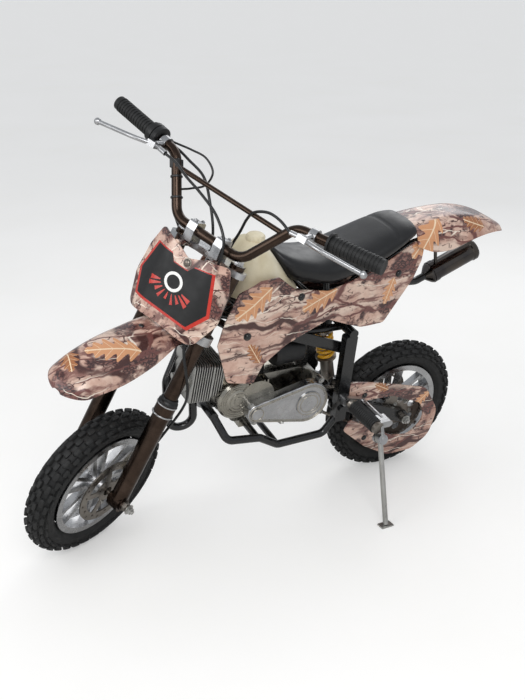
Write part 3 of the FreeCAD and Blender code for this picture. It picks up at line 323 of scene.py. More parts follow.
class Head(Enum):
    """Kinds of fastener: profile of radius and height in shares of the head's radius."""

    DOME = ((1.3, 0.0), (1.3, 0.14), (1.0, 0.16), (0.98, 0.34), (0.78, 0.6), (0.45, 0.76), (0.0, 0.8))
    SOCKET = ((1.0, 0.0), (1.0, 0.85), (0.92, 0.95), (0.56, 0.95), (0.52, 0.45), (0.0, 0.45))
    HEX = ((1.0, 0.0), (1.0, 0.62), (0.9, 0.72), (0.0, 0.72))
    NUT = ((1.0, 0.0), (1.0, 0.7), (0.9, 0.8), (0.62, 0.8), (0.62, 1.2), (0.5, 1.3), (0.0, 1.3))


def bolt_circle(x: float, radius: float) -> tuple[tuple[float, float, float], ...]:
    """Starting points of six rays round a wheel: centre + r (cos, sin), a sixth of a turn apart.

    Args:
        x: the wheel's centre along the bike.
        radius: of the circle, mm.

    Returns:
        The points in mm.
    """
    return tuple((x + radius * math.cos(turn), SIDE_START, AXLE_HEIGHT + radius * math.sin(turn))
                 for turn in np.arange(6) * math.pi / 3)


def fastener(shell: Shell, at: np.ndarray, way: np.ndarray, radius: float, head: Head) -> None:
    """Adds a bolt head or nut with its washer to a shell.

    Args:
        shell: where it goes.
        at: foot of the head.
        way: outward direction.
        radius: head radius in mm.
        head: its kind.
    """
    flat = head in (Head.HEX, Head.NUT)
    profile = [(r * radius, h * radius) for r, h in head.value]
    if flat:
        washer = [(0, 0), (radius * 1.35, 0), (radius * 1.35, 1.4), (0, 1.4)]
        shell.add(lathe(at - way * 0.5, way, washer, 20))
        profile = [(r, h + 0.8) for r, h in profile]
    shell.add(lathe(at, way, [(0.0, -0.5)] + profile, 6 if flat else 18))


# Finishes

class Graph:
    """One material's node tree."""

    def __init__(self, name: str) -> None:
        """Starts a material with its shader.

        Args:
            name: the material's name.
        """
        self.material = bpy.data.materials.new(name)
        self.material.use_nodes = True
        self.shader = self.material.node_tree.nodes["Principled BSDF"]

    def add(self, kind: str, links: dict[Any, Any] | None = None,
            stops: Sequence[tuple[float, Any]] = (), **settings: Any) -> bpy.types.Node:
        """Adds a node with its settings and links.

        Args:
            kind: the node's type without its common prefix, or "" for the shader itself.
            links: sockets by name or number, each with a value or another node's output.
            stops: place and colour of each stop, where the node has a colour ramp.
            **settings: the node's own properties.

        Returns:
            The node.
        """
        tree = self.material.node_tree
        node = tree.nodes.new("ShaderNode" + kind) if kind else self.shader
        for key, value in settings.items():
            setattr(node, key, value)
        if stops:
            ramp = node.color_ramp
            ramp.elements[0].position, ramp.elements[0].color = stops[0]
            ramp.elements[-1].position, ramp.elements[-1].color = stops[-1]
            for place, colour in stops[1:-1]:
                ramp.elements.new(place).color = colour
        for key, value in (links or {}).items():
            if isinstance(value, bpy.types.NodeSocket):
                tree.links.new(value, node.inputs[key])
            else:
                node.inputs[key].default_value = value
        return node


def per_metre(size_mm: float) -> float:
    """Texture scale that gives features of a size in mm.

    Args:
        size_mm: the features' size.

    Returns:
        The scale.
    """
    return 1000.0 / size_mm


GREY = (0.0, 0.0, 0.0, 1.0), (1.0, 1.0, 1.0, 1.0)


class Grain(Enum):
    """Fine surface texture."""

    POWDER = "noise"      # orange peel, cast sand and moulded matt
    LEATHER = "cells"     # embossed vinyl
    BRUSHED = "lines"     # drawn or brushed along the bike


@dataclass(frozen=True)
class Finish:
    """A made surface: its tones wander softly from the first to the last over its patches."""

    name: str
    tones: tuple[str, ...]
    metallic: float = 0.0
    roughness: float = 0.4
    uneven: float = 0.12
    patch_mm: float = 45.0
    grain: Grain = Grain.POWDER
    grain_mm: float = 1.2
    depth_mm: float = 0.05
    coat: float = 0.0
    dust: str = ""
    dust_share: float = 0.35

    def colour(self, graph: Graph, place: bpy.types.NodeSocket) -> bpy.types.NodeSocket:
        """Colour as a noise over the tones, with settled dust or rust where a second noise is high.

        Args:
            graph: the material.
            place: object coordinates.

        Returns:
            The colour.
        """
        wander = graph.add("TexNoise", {"Vector": place, "Scale": per_metre(self.patch_mm), "Detail": 5.0,
                                        "Roughness": 0.62})
        last = max(len(self.tones) - 1, 1)
        stops = [(0.3 + 0.4 * i / last, linear(tone)) for i, tone in enumerate(self.tones)]
        shade = graph.add("ValToRGB", {"Fac": wander.outputs["Fac"]}, stops).outputs["Color"]
        if not self.dust:
            return shade
        spots = graph.add("TexNoise", {"Vector": place, "Scale": per_metre(self.patch_mm / 3), "Detail": 8.0,
                                       "Roughness": 0.7})
        edge = 0.72 - 0.4 * self.dust_share
        share = graph.add("ValToRGB", {"Fac": spots.outputs["Fac"]},
                          [(edge, GREY[0]), (min(edge + 0.22, 1.0), (0.75, 0.75, 0.75, 1.0))])
        return graph.add("MixRGB", {"Fac": share.outputs["Color"], "Color1": shade,
                                    "Color2": linear(self.dust)}).outputs["Color"]

    def relief(self, graph: Graph, place: bpy.types.NodeSocket) -> bpy.types.NodeSocket:
        """Height of the fine grain, 0 to 1.

        Args:
            graph: the material.
            place: object coordinates.

        Returns:
            The height.
        """
        scale = per_metre(self.grain_mm)
        if self.grain is Grain.LEATHER:
            cells = graph.add("TexVoronoi", {"Vector": place, "Scale": scale}, feature="SMOOTH_F1")
            return cells.outputs["Distance"]
        if self.grain is Grain.BRUSHED:
            drawn = graph.add("Mapping", {"Vector": place, "Scale": (0.06, 1.0, 1.0)})
            return graph.add("TexNoise", {"Vector": drawn.outputs["Vector"], "Scale": scale,
                                          "Detail": 3.0}).outputs["Fac"]
        return graph.add("TexNoise", {"Vector": place, "Scale": scale, "Detail": 4.0}).outputs["Fac"]

    def build(self) -> bpy.types.Material:
        """Builds the material.

        Returns:
            The finished material, on Object coordinates.
        """
        graph = Graph(self.name)
        place = graph.add("TexCoord").outputs["Object"]
        wander = graph.add("TexNoise", {"Vector": place, "Scale": per_metre(self.patch_mm / 2),
                                        "Detail": 6.0})
        low, high = max(self.roughness - self.uneven, 0.03), min(self.roughness + self.uneven, 1.0)
        rough = graph.add("ValToRGB", {"Fac": wander.outputs["Fac"]},
                          [(0.3, (low, low, low, 1.0)), (0.7, (high, high, high, 1.0))])
        bump = graph.add("Bump", {"Height": self.relief(graph, place), "Strength": 1.0,
                                  "Distance": self.depth_mm / 1000})
        graph.add("", {"Base Color": self.colour(graph, place), "Metallic": self.metallic,
                       "Roughness": rough.outputs["Color"], "Coat Weight": self.coat,
                       "Coat Roughness": 0.12, "Normal": bump.outputs["Normal"]})
        return graph.material


@dataclass(frozen=True)
class WoodlandFilm(Finish):
    """Film of bark, branches, twigs and leaves dipped on moulded plastic under a clear coat."""

    bark: str = "#6b403a"
    branch: str = "#43231f"
    twig: str = "#e6d8c8"
    limb: str = "#d8bfae"
    leaf: str = "#cc9268"
    leaf_edge: str = "#a0673f"
    leaf_vein: str = "#e9cfae"
    cell: str = "#2c1618"

    def colour(self, graph: Graph, place: bpy.types.NodeSocket) -> bpy.types.NodeSocket:
        """Layers: soft ground, streaked bark, thick and thin branches from warped cells, leaves.

        Args:
            graph: the material.
            place: object coordinates.

        Returns:
            The colour.
        """
        warp = graph.add("TexNoise", {"Vector": place, "Scale": per_metre(55), "Detail": 3.0})
        shift = graph.add("MixRGB", {"Fac": 0.012, "Color1": place, "Color2": warp.outputs["Color"]},
                          blend_type="LINEAR_LIGHT").outputs["Color"]
        ground = super().colour(graph, place)

        def over(below: bpy.types.NodeSocket, mask: bpy.types.NodeSocket, tone: str) -> bpy.types.NodeSocket:
            """One tone laid over the layers below where its mask is high.

            Args:
                below: the layers so far.
                mask: where it shows, 0 to 1.
                tone: its hex code.

            Returns:
                The new top layer.
            """
            return graph.add("MixRGB", {"Fac": mask, "Color1": below,
                                        "Color2": linear(tone)}).outputs["Color"]

        def lines(cell_mm: float, width: float, stretch: tuple[float, float, float],
                  turn: float, gap: float) -> bpy.types.NodeSocket:
            """Edges between warped cells of a size, broken up by a coarse noise.

            Args:
                cell_mm: size of a cell.
                width: width of a line, in shares of a cell.
                stretch: scale along each axis.
                turn: turn about Y, radians.
                gap: noise level under which a line breaks off.

            Returns:
                The mask of the lines.
            """
            laid = graph.add("Mapping", {"Vector": shift, "Scale": stretch, "Rotation": (0.3, turn, 0.2)})
            cells = graph.add("TexVoronoi", {"Vector": laid.outputs["Vector"], "Scale": per_metre(cell_mm)},
                              feature="DISTANCE_TO_EDGE")
            thin = graph.add("ValToRGB", {"Fac": cells.outputs["Distance"]},
                             [(width * 0.55, GREY[1]), (width, GREY[0])])
            broken = graph.add("TexNoise", {"Vector": laid.outputs["Vector"],
                                            "Scale": per_metre(cell_mm * 1.3), "Detail": 2.0})
            kept = graph.add("ValToRGB", {"Fac": broken.outputs["Fac"]},
                             [(gap, GREY[0]), (gap + 0.08, GREY[1])])
            return graph.add("Math", {0: thin.outputs["Color"], 1: kept.outputs["Color"]},
                             operation="MULTIPLY").outputs["Value"]

        streak = graph.add("Mapping", {"Vector": shift, "Scale": (0.2, 1.0, 1.0),
                                       "Rotation": (0.2, 0.6, 0.1)})
        bark = graph.add("TexNoise", {"Vector": streak.outputs["Vector"], "Scale": per_metre(21),
                                      "Detail": 7.0, "Roughness": 0.6})
        rough_bark = graph.add("ValToRGB", {"Fac": bark.outputs["Fac"]},
                               [(0.5, GREY[0]), (0.6, (0.85, 0.85, 0.85, 1.0))])
        shade = over(ground, rough_bark.outputs["Color"], self.bark)
        patch = graph.add("TexNoise", {"Vector": shift, "Scale": per_metre(75), "Detail": 3.0})
        patches = graph.add("ValToRGB", {"Fac": patch.outputs["Fac"]},
                            [(0.52, GREY[0]), (0.57, (0.9, 0.9, 0.9, 1.0))])
        shade = over(shade, patches.outputs["Color"], self.bark)
        scaly = graph.add("Math", {0: lines(6.5, 0.2, (0.55, 1.0, 1.0), 0.5, 0.3),
                                   1: patches.outputs["Color"]}, operation="MULTIPLY").outputs["Value"]
        shade = over(shade, scaly, self.cell)
        shade = over(shade, lines(150, 0.06, (0.35, 1.0, 1.5), 0.6, 0.46), self.limb)
        shade = over(shade, lines(128, 0.05, (0.35, 1.0, 1.5), -0.8, 0.45), self.branch)
        shade = over(shade, lines(70, 0.035, (0.3, 1.0, 1.6), 0.9, 0.44), self.bark)
        shade = over(shade, lines(60, 0.02, (0.3, 1.0, 1.6), -0.35, 0.5), self.twig)
        shade = over(shade, lines(11, 0.09, (0.6, 1.0, 1.0), 0.3, 0.55), self.branch)
        for leaf in LEAVES:
            inside, vein = self.leaf_masks(graph, place, leaf)
            shade = over(shade, inside, self.leaf if leaf.bright else self.leaf_edge)
            shade = over(shade, vein, self.leaf_vein)
        return shade

    @staticmethod
    def leaf_masks(graph: Graph, place: bpy.types.NodeSocket, leaf: "Leaf") -> tuple[Any, Any]:
        """Lobed outline |v| < w(u) on the leaf's own axes, w a half ellipse cut by a cosine, and its veins.

        Args:
            graph: the material.
            place: object coordinates.
            leaf: where it lies.

        Returns:
            The masks of the blade and of its veins.
        """
        centre, turn = leaf.frame()
        own = graph.add("Mapping", {"Vector": place, "Location": centre, "Rotation": turn,
                                    "Scale": (leaf.length_mm / 1000,) * 3}, vector_type="TEXTURE")
        axes = graph.add("SeparateXYZ", {"Vector": own.outputs["Vector"]}).outputs

        def maths(operation: str, first: Any, second: Any = 0.0, third: Any = 0.0) -> bpy.types.NodeSocket:
            """One arithmetic step.

            Args:
                operation: the node's operation.
                first: first value.
                second: second value.
                third: third value.

            Returns:
                The result.
            """
            return graph.add("Math", {0: first, 1: second, 2: third}, operation=operation).outputs["Value"]

        along, aside = axes["X"], maths("ABSOLUTE", axes["Z"])
        bow = maths("SUBTRACT", 1.0, maths("MULTIPLY", along, along))
        belly = maths("POWER", maths("MAXIMUM", bow, 0.0), 0.7)
        lobes = maths("MULTIPLY_ADD", maths("COSINE", maths("MULTIPLY_ADD", along, 15.0, maths(
            "MULTIPLY", aside, -9.0))), 0.16, 0.42)
        width = maths("MULTIPLY", belly, lobes)
        close = maths("LESS_THAN", maths("ABSOLUTE", axes["Y"]), leaf.reach)
        blade = maths("MULTIPLY", maths("LESS_THAN", aside, width), close)
        phase = maths("MULTIPLY_ADD", along, 7.5, maths("MULTIPLY", aside, -6.0))
        side_vein = maths("LESS_THAN", maths("ABSOLUTE", maths("SINE", phase)), 0.07)
        middle_vein = maths("LESS_THAN", aside, 0.03)
        veins = maths("MULTIPLY", maths("MAXIMUM", side_vein, middle_vein), blade)
        return blade, veins


@dataclass(frozen=True)
class Leaf:
    """A printed leaf: middle in mm on the upright bike, half length, tilt, and the way its sheet faces."""

    middle: tuple[float, float, float]
    length_mm: float
    tilt: float
    steered: bool = False
    flat: bool = False
    bright: bool = True
    reach: float = 0.6

    def frame(self) -> tuple[tuple[float, ...], tuple[float, ...]]:
        """Its place and turn in object coordinates.

        Returns:
            Centre in m and Euler angles.
        """
        own = rotation((0, 1, 0), math.radians(self.tilt))
        if self.flat:
            own = rotation((1, 0, 0), math.pi / 2) @ own
        turn = Stance.lean @ Stance.turn if self.steered else Stance.lean
        place = Stance.steered if self.steered else Stance.bike
        angles = Matrix((turn @ own).tolist()).to_euler("XYZ")
        return tuple(place(np.array(self.middle))), tuple(angles)


LEAVES = (Leaf((505, 118, 640), 54, 35), Leaf((330, 106, 615), 50, 20), Leaf((130, 90, 600), 34, 70),
          Leaf((500, 120, 520), 30, -60, bright=False), Leaf((30, 74, 716), 60, 50),
          Leaf((-110, 62, 735), 34, -20, bright=False),
          Leaf((850, 10, 608), 58, -35, steered=True, flat=True),
          Leaf((930, -30, 590), 34, 60, steered=True, flat=True, bright=False),
          Leaf((470, -118, 630), 46, -40), Leaf((250, -100, 600), 42, 30), Leaf((20, -74, 716), 44, -30),
          Leaf((-40, 82, 250), 30, 40), Leaf((100, 82, 320), 26, -30, bright=False))


FINISHES: dict[str, Finish] = {
    # Film-dipped polypropylene: print under a clear coat, so the gloss sits over the pattern
    "camo_plastic": WoodlandFilm("woodland_film", ("#a67c6c", "#c9a695", "#e2cbb9"), roughness=0.3,
                                 patch_mm=70, coat=0.35, grain_mm=0.9, depth_mm=0.02),
    # Moulded black polypropylene, matt with fine sand texture and a little dust
    "black_plastic": Finish("moulded_black", ("#070708", "#0e0e0f"), roughness=0.42, dust="#2c2927",
                            dust_share=0.2, grain_mm=1.0, depth_mm=0.06),
    # Blow-moulded natural polyethylene tank: waxy, slightly yellowed
    "ivory_plastic": Finish("natural_polyethylene", ("#cdbf9c", "#ded2b4", "#e8dfc8"), roughness=0.42,
                            patch_mm=80, grain_mm=2.2, depth_mm=0.05, coat=0.1),
    # Embossed vinyl cover: satin, small leather cells
    "seat_vinyl": Finish("embossed_vinyl", ("#08080a", "#0f0f11"), roughness=0.36, uneven=0.07,
                         grain=Grain.LEATHER, grain_mm=1.8, depth_mm=0.09),
    # Moulded grip rubber, dull, worn grey on the high spots
    "grip_rubber": Finish("grip_rubber", ("#0a0a0a", "#121212"), roughness=0.58, grain_mm=0.8,
                          depth_mm=0.08, dust="#262422", dust_share=0.2),
    # Vulcanised tyre rubber with dry soil left in it
    "tyre_rubber": Finish("tyre_rubber", ("#0b0b0b", "#131313", "#181716"), roughness=0.68, patch_mm=30,
                          grain_mm=1.4, depth_mm=0.12, dust="#37312b", dust_share=0.22),
    # Bronze-tinted hard chrome on steel tube
    "bronze_metal": Finish("bronze_chrome", ("#352b25", "#4d4038"), metallic=1.0, roughness=0.25,
                           uneven=0.08, grain=Grain.BRUSHED, grain_mm=0.8, depth_mm=0.015),
    # Gloss enamel on steel tube, with orange peel and road dust
    "black_steel": Finish("black_enamel", ("#060607", "#0c0c0d"), roughness=0.24, coat=0.3,
                          grain_mm=3.0, depth_mm=0.04, dust="#2e2925", dust_share=0.12),
    # Tumbled and polished aluminium alloy
    "silver_alloy": Finish("polished_alloy", ("#a2a2a3", "#bfbfc0"), metallic=1.0, roughness=0.28,
                           grain_mm=1.2, depth_mm=0.03, dust="#5b5650", dust_share=0.08),
    # Sand-cast aluminium, grey with grime in the low spots
    "cast_alloy": Finish("cast_alloy", ("#a29c90", "#bcb6aa"), metallic=1.0, roughness=0.32,
                         grain_mm=1.6, depth_mm=0.14, dust="#4c463e", dust_share=0.1),
    # Bare mild steel that has begun to brown
    "steel": Finish("browned_steel", ("#726b64", "#9a948c"), metallic=0.95, roughness=0.36,
                    grain=Grain.BRUSHED, grain_mm=0.9, depth_mm=0.03, dust="#5a3a26", dust_share=0.24),
    # Smoked chrome, blued by heat
    "dark_chrome": Finish("smoked_chrome", ("#3a393d", "#524e4b", "#5c544d"), metallic=1.0, roughness=0.14,
                          patch_mm=60, grain_mm=2.0, depth_mm=0.02),
    # Sprayed yellow enamel on spring wire
    "yellow_paint": Finish("yellow_enamel", ("#d39a12", "#e8b02a"), roughness=0.3, coat=0.3,
                           grain_mm=2.0, depth_mm=0.04, dust="#6b5a36", dust_share=0.15),
    # Bright zinc on mild steel rod, gone dull
    "zinc_steel": Finish("dull_zinc", ("#a3a29f", "#bebdb9"), metallic=1.0, roughness=0.38, grain_mm=1.5,
                         depth_mm=0.03, dust="#6b5a48", dust_share=0.1),
    # Steel cover darkened by oil, turned in rings
    "oiled_cover": Finish("oiled_cover", ("#8b877e", "#aaa69c"), metallic=1.0, roughness=0.24, grain_mm=1.4,
                          depth_mm=0.04, dust="#4a4338", dust_share=0.12),
    # Soft black vinyl sheath of the control cables
    "cable_sheath": Finish("cable_sheath", ("#070708", "#0e0e0f"), roughness=0.35, grain_mm=1.5,
                           depth_mm=0.02),
    "decal_red": Finish("printed_red", ("#b3261c", "#c4301f"), roughness=0.3, coat=0.4, depth_mm=0.01),
    "decal_black": Finish("printed_black", ("#060607", "#0a0a0b"), roughness=0.5, coat=0.0, depth_mm=0.01),
    "decal_white": Finish("printed_white", ("#e6e4e0", "#efeeea"), roughness=0.3, coat=0.4, depth_mm=0.01),
}


# Nodes whose finish differs from their slot's usual one
NODE_PAINTS = {"side_stand": "zinc_steel", "flywheel_cover": "oiled_cover", "engine_cylinder": "zinc_steel",
               "engine_crankcase": "oiled_cover"}


# Sub-assemblies

@dataclass
class Workshop:
    """What every sub-assembly works with: the frame, its finishes and the nodes' ray trees."""

    frame: dict[str, Any]
    paints: dict[str, bpy.types.Material]
    trees: dict[str, BVHTree] = field(default_factory=dict)

    def finish(self, shell: Shell, name: str, body: str, slot: str, paint: str = "",
               replaces: Sequence[str] = (), sharp: float = 38.0) -> bpy.types.Object:
        """Makes a piece from a shell, rides it on its body and gives it its finish.

        Args:
            shell: its mesh.
            name: the piece's name.
            body: the body it moves with.
            slot: the record's material slot.
            paint: the finish, where it isn't the slot's own.
            replaces: CAD nodes that it stands for.
            sharp: edges over this angle stay sharp.

        Returns:
            The piece.
        """
        place = Stance.steered if body in ("steering", "front_wheel") else Stance.bike
        piece = shell.piece(name, place, self.paints[paint or slot], sharp)
        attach(piece, body)
        if replaces:
            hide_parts(*replaces)
        log.info("%s: %d faces on %s", name, len(piece.data.polygons), body)
        return piece

    def surface(self, node: str, steered: bool, starts: np.ndarray, way: Sequence[float]) -> list:
        """Where rays in the bike frame meet a CAD node, with the outward normal there.

        Args:
            node: the node.
            steered: it turns with the bars.
            starts: (n, 3) starting points in mm.
            way: the rays' direction.

        Returns:
            (point, normal) in mm for each ray that meets it.
        """
        if node not in self.trees:
            mesh = self.frame["nodes"][node].data
            self.trees[node] = BVHTree.FromPolygons([v.co for v in mesh.vertices],
                                                    [p.vertices for p in mesh.polygons])
        tree = self.trees[node]
        place = Stance.steered if steered else Stance.bike
        turn = (Stance.lean @ Stance.turn) if steered else Stance.lean
        direction = np.asarray(way, float) / np.linalg.norm(way)
        found = []
        for start in np.atleast_2d(starts):
            hit, normal, _, distance = tree.ray_cast(Vector(place(start)), Vector(turn @ direction))
            if hit is not None:
                out = turn.T @ np.asarray(normal)
                found.append((start + direction * distance * 1000, out if out @ direction < 0 else -out))
        return found


@dataclass
class Tyre:
    """Knobbly tyre: a round carcass with staggered rows of blocks."""

    node: str
    body: str
    centre: tuple[float, float, float]
    radius: float = 193.0
    half: float = 36.0
    lug_height: float = 7.0
    bead_radius: float = 129.0
    pitches: int = 34
    # Rows: section angle in degrees, half width along the section, half length, share of a pitch ahead
    rows: tuple[tuple[float, float, float, float], ...] = (
        (9.5, 8.0, 0.27, 0.0), (-9.5, 8.0, 0.27, 0.5), (31.0, 8.5, 0.30, 0.5), (-31.0, 8.5, 0.30, 0.0),
        (53.0, 8.0, 0.30, 0.0), (-53.0, 8.0, 0.30, 0.5), (72.0, 5.0, 0.34, 0.5), (-72.0, 5.0, 0.34, 0.0))

    def place(self, angle: np.ndarray, section: np.ndarray, height: np.ndarray) -> np.ndarray:
        """Point at an angle round the wheel, an angle round the section and a radius of the section.

        Args:
            angle: round the wheel.
            section: round the section.
            height: radius in the section.

        Returns:
            The points in mm.
        """
        out = self.radius - self.half + height * np.cos(section)
        point = np.stack([out * np.sin(angle), height * np.sin(section), out * np.cos(angle)], axis=-1)
        return point + np.asarray(self.centre)

    def carcass(self, sides: int = 120) -> np.ndarray:
        """Section with two ribs on each sidewall, carried round the wheel.

        Args:
            sides: points round the wheel.

        Returns:
            An (around, section, 3) grid.
        """
        section = np.radians(np.linspace(-160, 160, 65))
        ribs = 1.1 * np.exp(-((np.abs(np.degrees(section)) - 84) / 3.0) ** 2)
        ribs += 1.3 * np.exp(-((np.abs(np.degrees(section)) - 106) / 4.0) ** 2)
        height = self.half - self.lug_height + ribs
        out = np.maximum(self.radius - self.half + height * np.cos(section), self.bead_radius)
        angle = np.arange(sides) * 2 * math.pi / sides
        ring = np.stack([out[None] * np.sin(angle)[:, None],
                         np.broadcast_to(height * np.sin(section), (sides, len(section))),
                         out[None] * np.cos(angle)[:, None]], axis=-1)
        return ring + np.asarray(self.centre)

    def lugs(self) -> np.ndarray:
        """Blocks as stacked rounded rectangles (superellipses) on the carcass, tapering outwards.

        Returns:
            A (blocks, levels, 16, 3) grid.
        """
        turn = np.arange(16) * 2 * math.pi / 16 + math.pi / 16
        square = np.stack([np.sign(np.cos(turn)) * np.abs(np.cos(turn)) ** 0.4,
                           np.sign(np.sin(turn)) * np.abs(np.sin(turn)) ** 0.4])
        base = self.half - self.lug_height
        levels = np.array([(1.16, base - 1.0), (1.0, base + 1.6), (0.95, self.half - 1.2),
                           (0.84, self.half - 0.1), (0.3, self.half)])
        pitch = 2 * math.pi / self.pitches
        made = []
        for middle, width, length, ahead in self.rows:
            centres = (np.arange(self.pitches) + ahead) * pitch
            section = math.radians(middle) + levels[:, 0, None] * square[1] * math.radians(width)
            angle = centres[:, None, None] + levels[:, 0, None] * square[0] * length * pitch
            height = np.broadcast_to(levels[:, 1, None], section.shape)
            made.append(self.place(angle, np.broadcast_to(section, angle.shape),
                                   np.broadcast_to(height, angle.shape)))
        return np.concatenate(made)

    def build(self, shop: Workshop) -> None:
        """Makes the tyre in place of its node.

        Args:
            shop: makes and finishes the piece.
        """
        shell = Shell().add(self.carcass(), closed_rows=True).add(self.lugs())
        shop.finish(shell, self.node + "_rubber", self.body, "tyre_rubber", replaces=[self.node], sharp=50)


@dataclass
class Saddle:
    """Foam saddle under a stretched vinyl cover, dished in the middle and raised at the back."""

    # Stations: x, half width, top, bottom
    stations: tuple[tuple[float, float, float, float], ...] = (
        (431, 24, 729, 694), (418, 42, 722, 676), (398, 58, 713, 658), (350, 74, 699, 646),
        (300, 81, 694, 636), (240, 84, 703, 648), (180, 85, 719, 668), (130, 80, 735, 690),
        (92, 72, 747, 710), (58, 60, 750, 726))
    rows: int = 88
    columns: int = 72

    def grid(self) -> np.ndarray:
        """Superelliptic rings: y = w cos^p, z from the middle to a crowned top and a flatter base.

        Returns:
            A (rows, columns, 3) grid.
        """
        table = np.array(self.stations[::-1])
        x = np.linspace(table[0, 0], table[-1, 0], self.rows)
        half, top, bottom = (curve(x, table[:, 0], table[:, i])[:, None] for i in (1, 2, 3))
        share = ((x - x[0]) / (x[-1] - x[0]))[:, None]
        close = np.minimum(1, np.minimum(share, 1 - share) * 26 + 0.35) ** 0.5
        angle = (np.arange(self.columns) * 2 * math.pi / self.columns)[None]
        across_, up = np.cos(angle), np.sin(angle)
        middle = bottom + (top - bottom) * 0.42
        tuck = 1 - 0.05 * np.exp(-((up + 0.35) / 0.3) ** 2)
        y = half * close * tuck * np.sign(across_) * np.abs(across_) ** 0.62
        rise = np.where(up > 0, (top - middle) * np.abs(up) ** 0.72, -(middle - bottom) * np.abs(up) ** 0.6)
        z = middle + rise * close
        crown = 2.5 * (1 - (y / half) ** 2) * (up > 0)
        crease = 0.9 * np.exp(-((x[:, None] - 118 - 6 * (y / half) ** 2) / 2.6) ** 2) * (up > 0.2)
        pull = 0.5 * np.sin(x[:, None] / 9.0 + 3 * y / half) * np.exp(-((up - 0.25) / 0.22) ** 2)
        return np.stack([np.broadcast_to(x[:, None], y.shape), y + pull * np.sign(across_),
                         z + crown - crease], axis=-1)

    def build(self, shop: Workshop) -> None:
        """Makes the padded saddle in place of its node.

        Args:
            shop: makes and finishes the piece.
        """
        seat = shop.finish(Shell().add(self.grid()), "saddle", "frame", "seat_vinyl", replaces=["seat"],
                           sharp=75)


@dataclass
class Fender:
    """Arched sheet from stations: x, half width at the hem, top, drop of the sides."""

    name: str
    node: str
    body: str
    stations: tuple[tuple[float, float, float, float], ...]
    power: float = 4.2
    thick: float = 3.0
    ridge: float = 0.0
    rounded: float = 0.0
    rows: int = 70
    columns: int = 41

    def skin(self, inset: float) -> np.ndarray:
        """One face of the sheet: y = half x v, z = top - drop x |v|^power, v from -1 to 1.

        Args:
            inset: how far inside the outer face, mm.

        Returns:
            A (rows, columns, 3) grid.
        """
        table = np.array(sorted(self.stations))
        share = np.linspace(0.0, 1.0, self.rows)
        crowding = 2.0 if self.rounded else 1.0  # more rows near a rounded end
        x = table[0, 0] + (table[-1, 0] - table[0, 0]) * (1.0 - (1.0 - share) ** crowding)
        half, top, drop = (curve(x, table[:, 0], table[:, i])[:, None] for i in (1, 2, 3))
        if self.rounded:
            short = np.clip((x[-1] + 1.5 - x) / self.rounded, 0.0, 1.0)[:, None]
            half = half * np.sqrt(1.0 - (1.0 - short) ** 2)
        v = np.linspace(-1, 1, self.columns)[None]
        y = (half - inset) * v
        z = top - inset - (drop - inset) * np.abs(v) ** self.power
        z = z - self.ridge * np.exp(-((np.abs(v) - 0.5) / 0.05) ** 2)
        return np.stack([np.broadcast_to(x[:, None], y.shape), y, z], axis=-1)

    def build(self, shop: Workshop) -> None:
        """Makes the sheet in place of its node.

        Args:
            shop: makes and finishes the piece.
        """
        outer, inner = self.skin(0.0), self.skin(self.thick)
        ring = np.concatenate([outer, inner[:, ::-1]], axis=1)
        shell = Shell().add(ring, caps=False)
        count, wide = self.rows, self.columns
        strip = np.arange(wide - 1)
        for row in (0, count - 1):
            start = row * 2 * wide
            low = start + strip
            high = start + 2 * wide - 1 - strip
            shell.faces += np.stack([low, low + 1, high - 1, high], axis=-1).tolist()
        shop.finish(shell, self.name, self.body, "camo_plastic", replaces=[self.node])


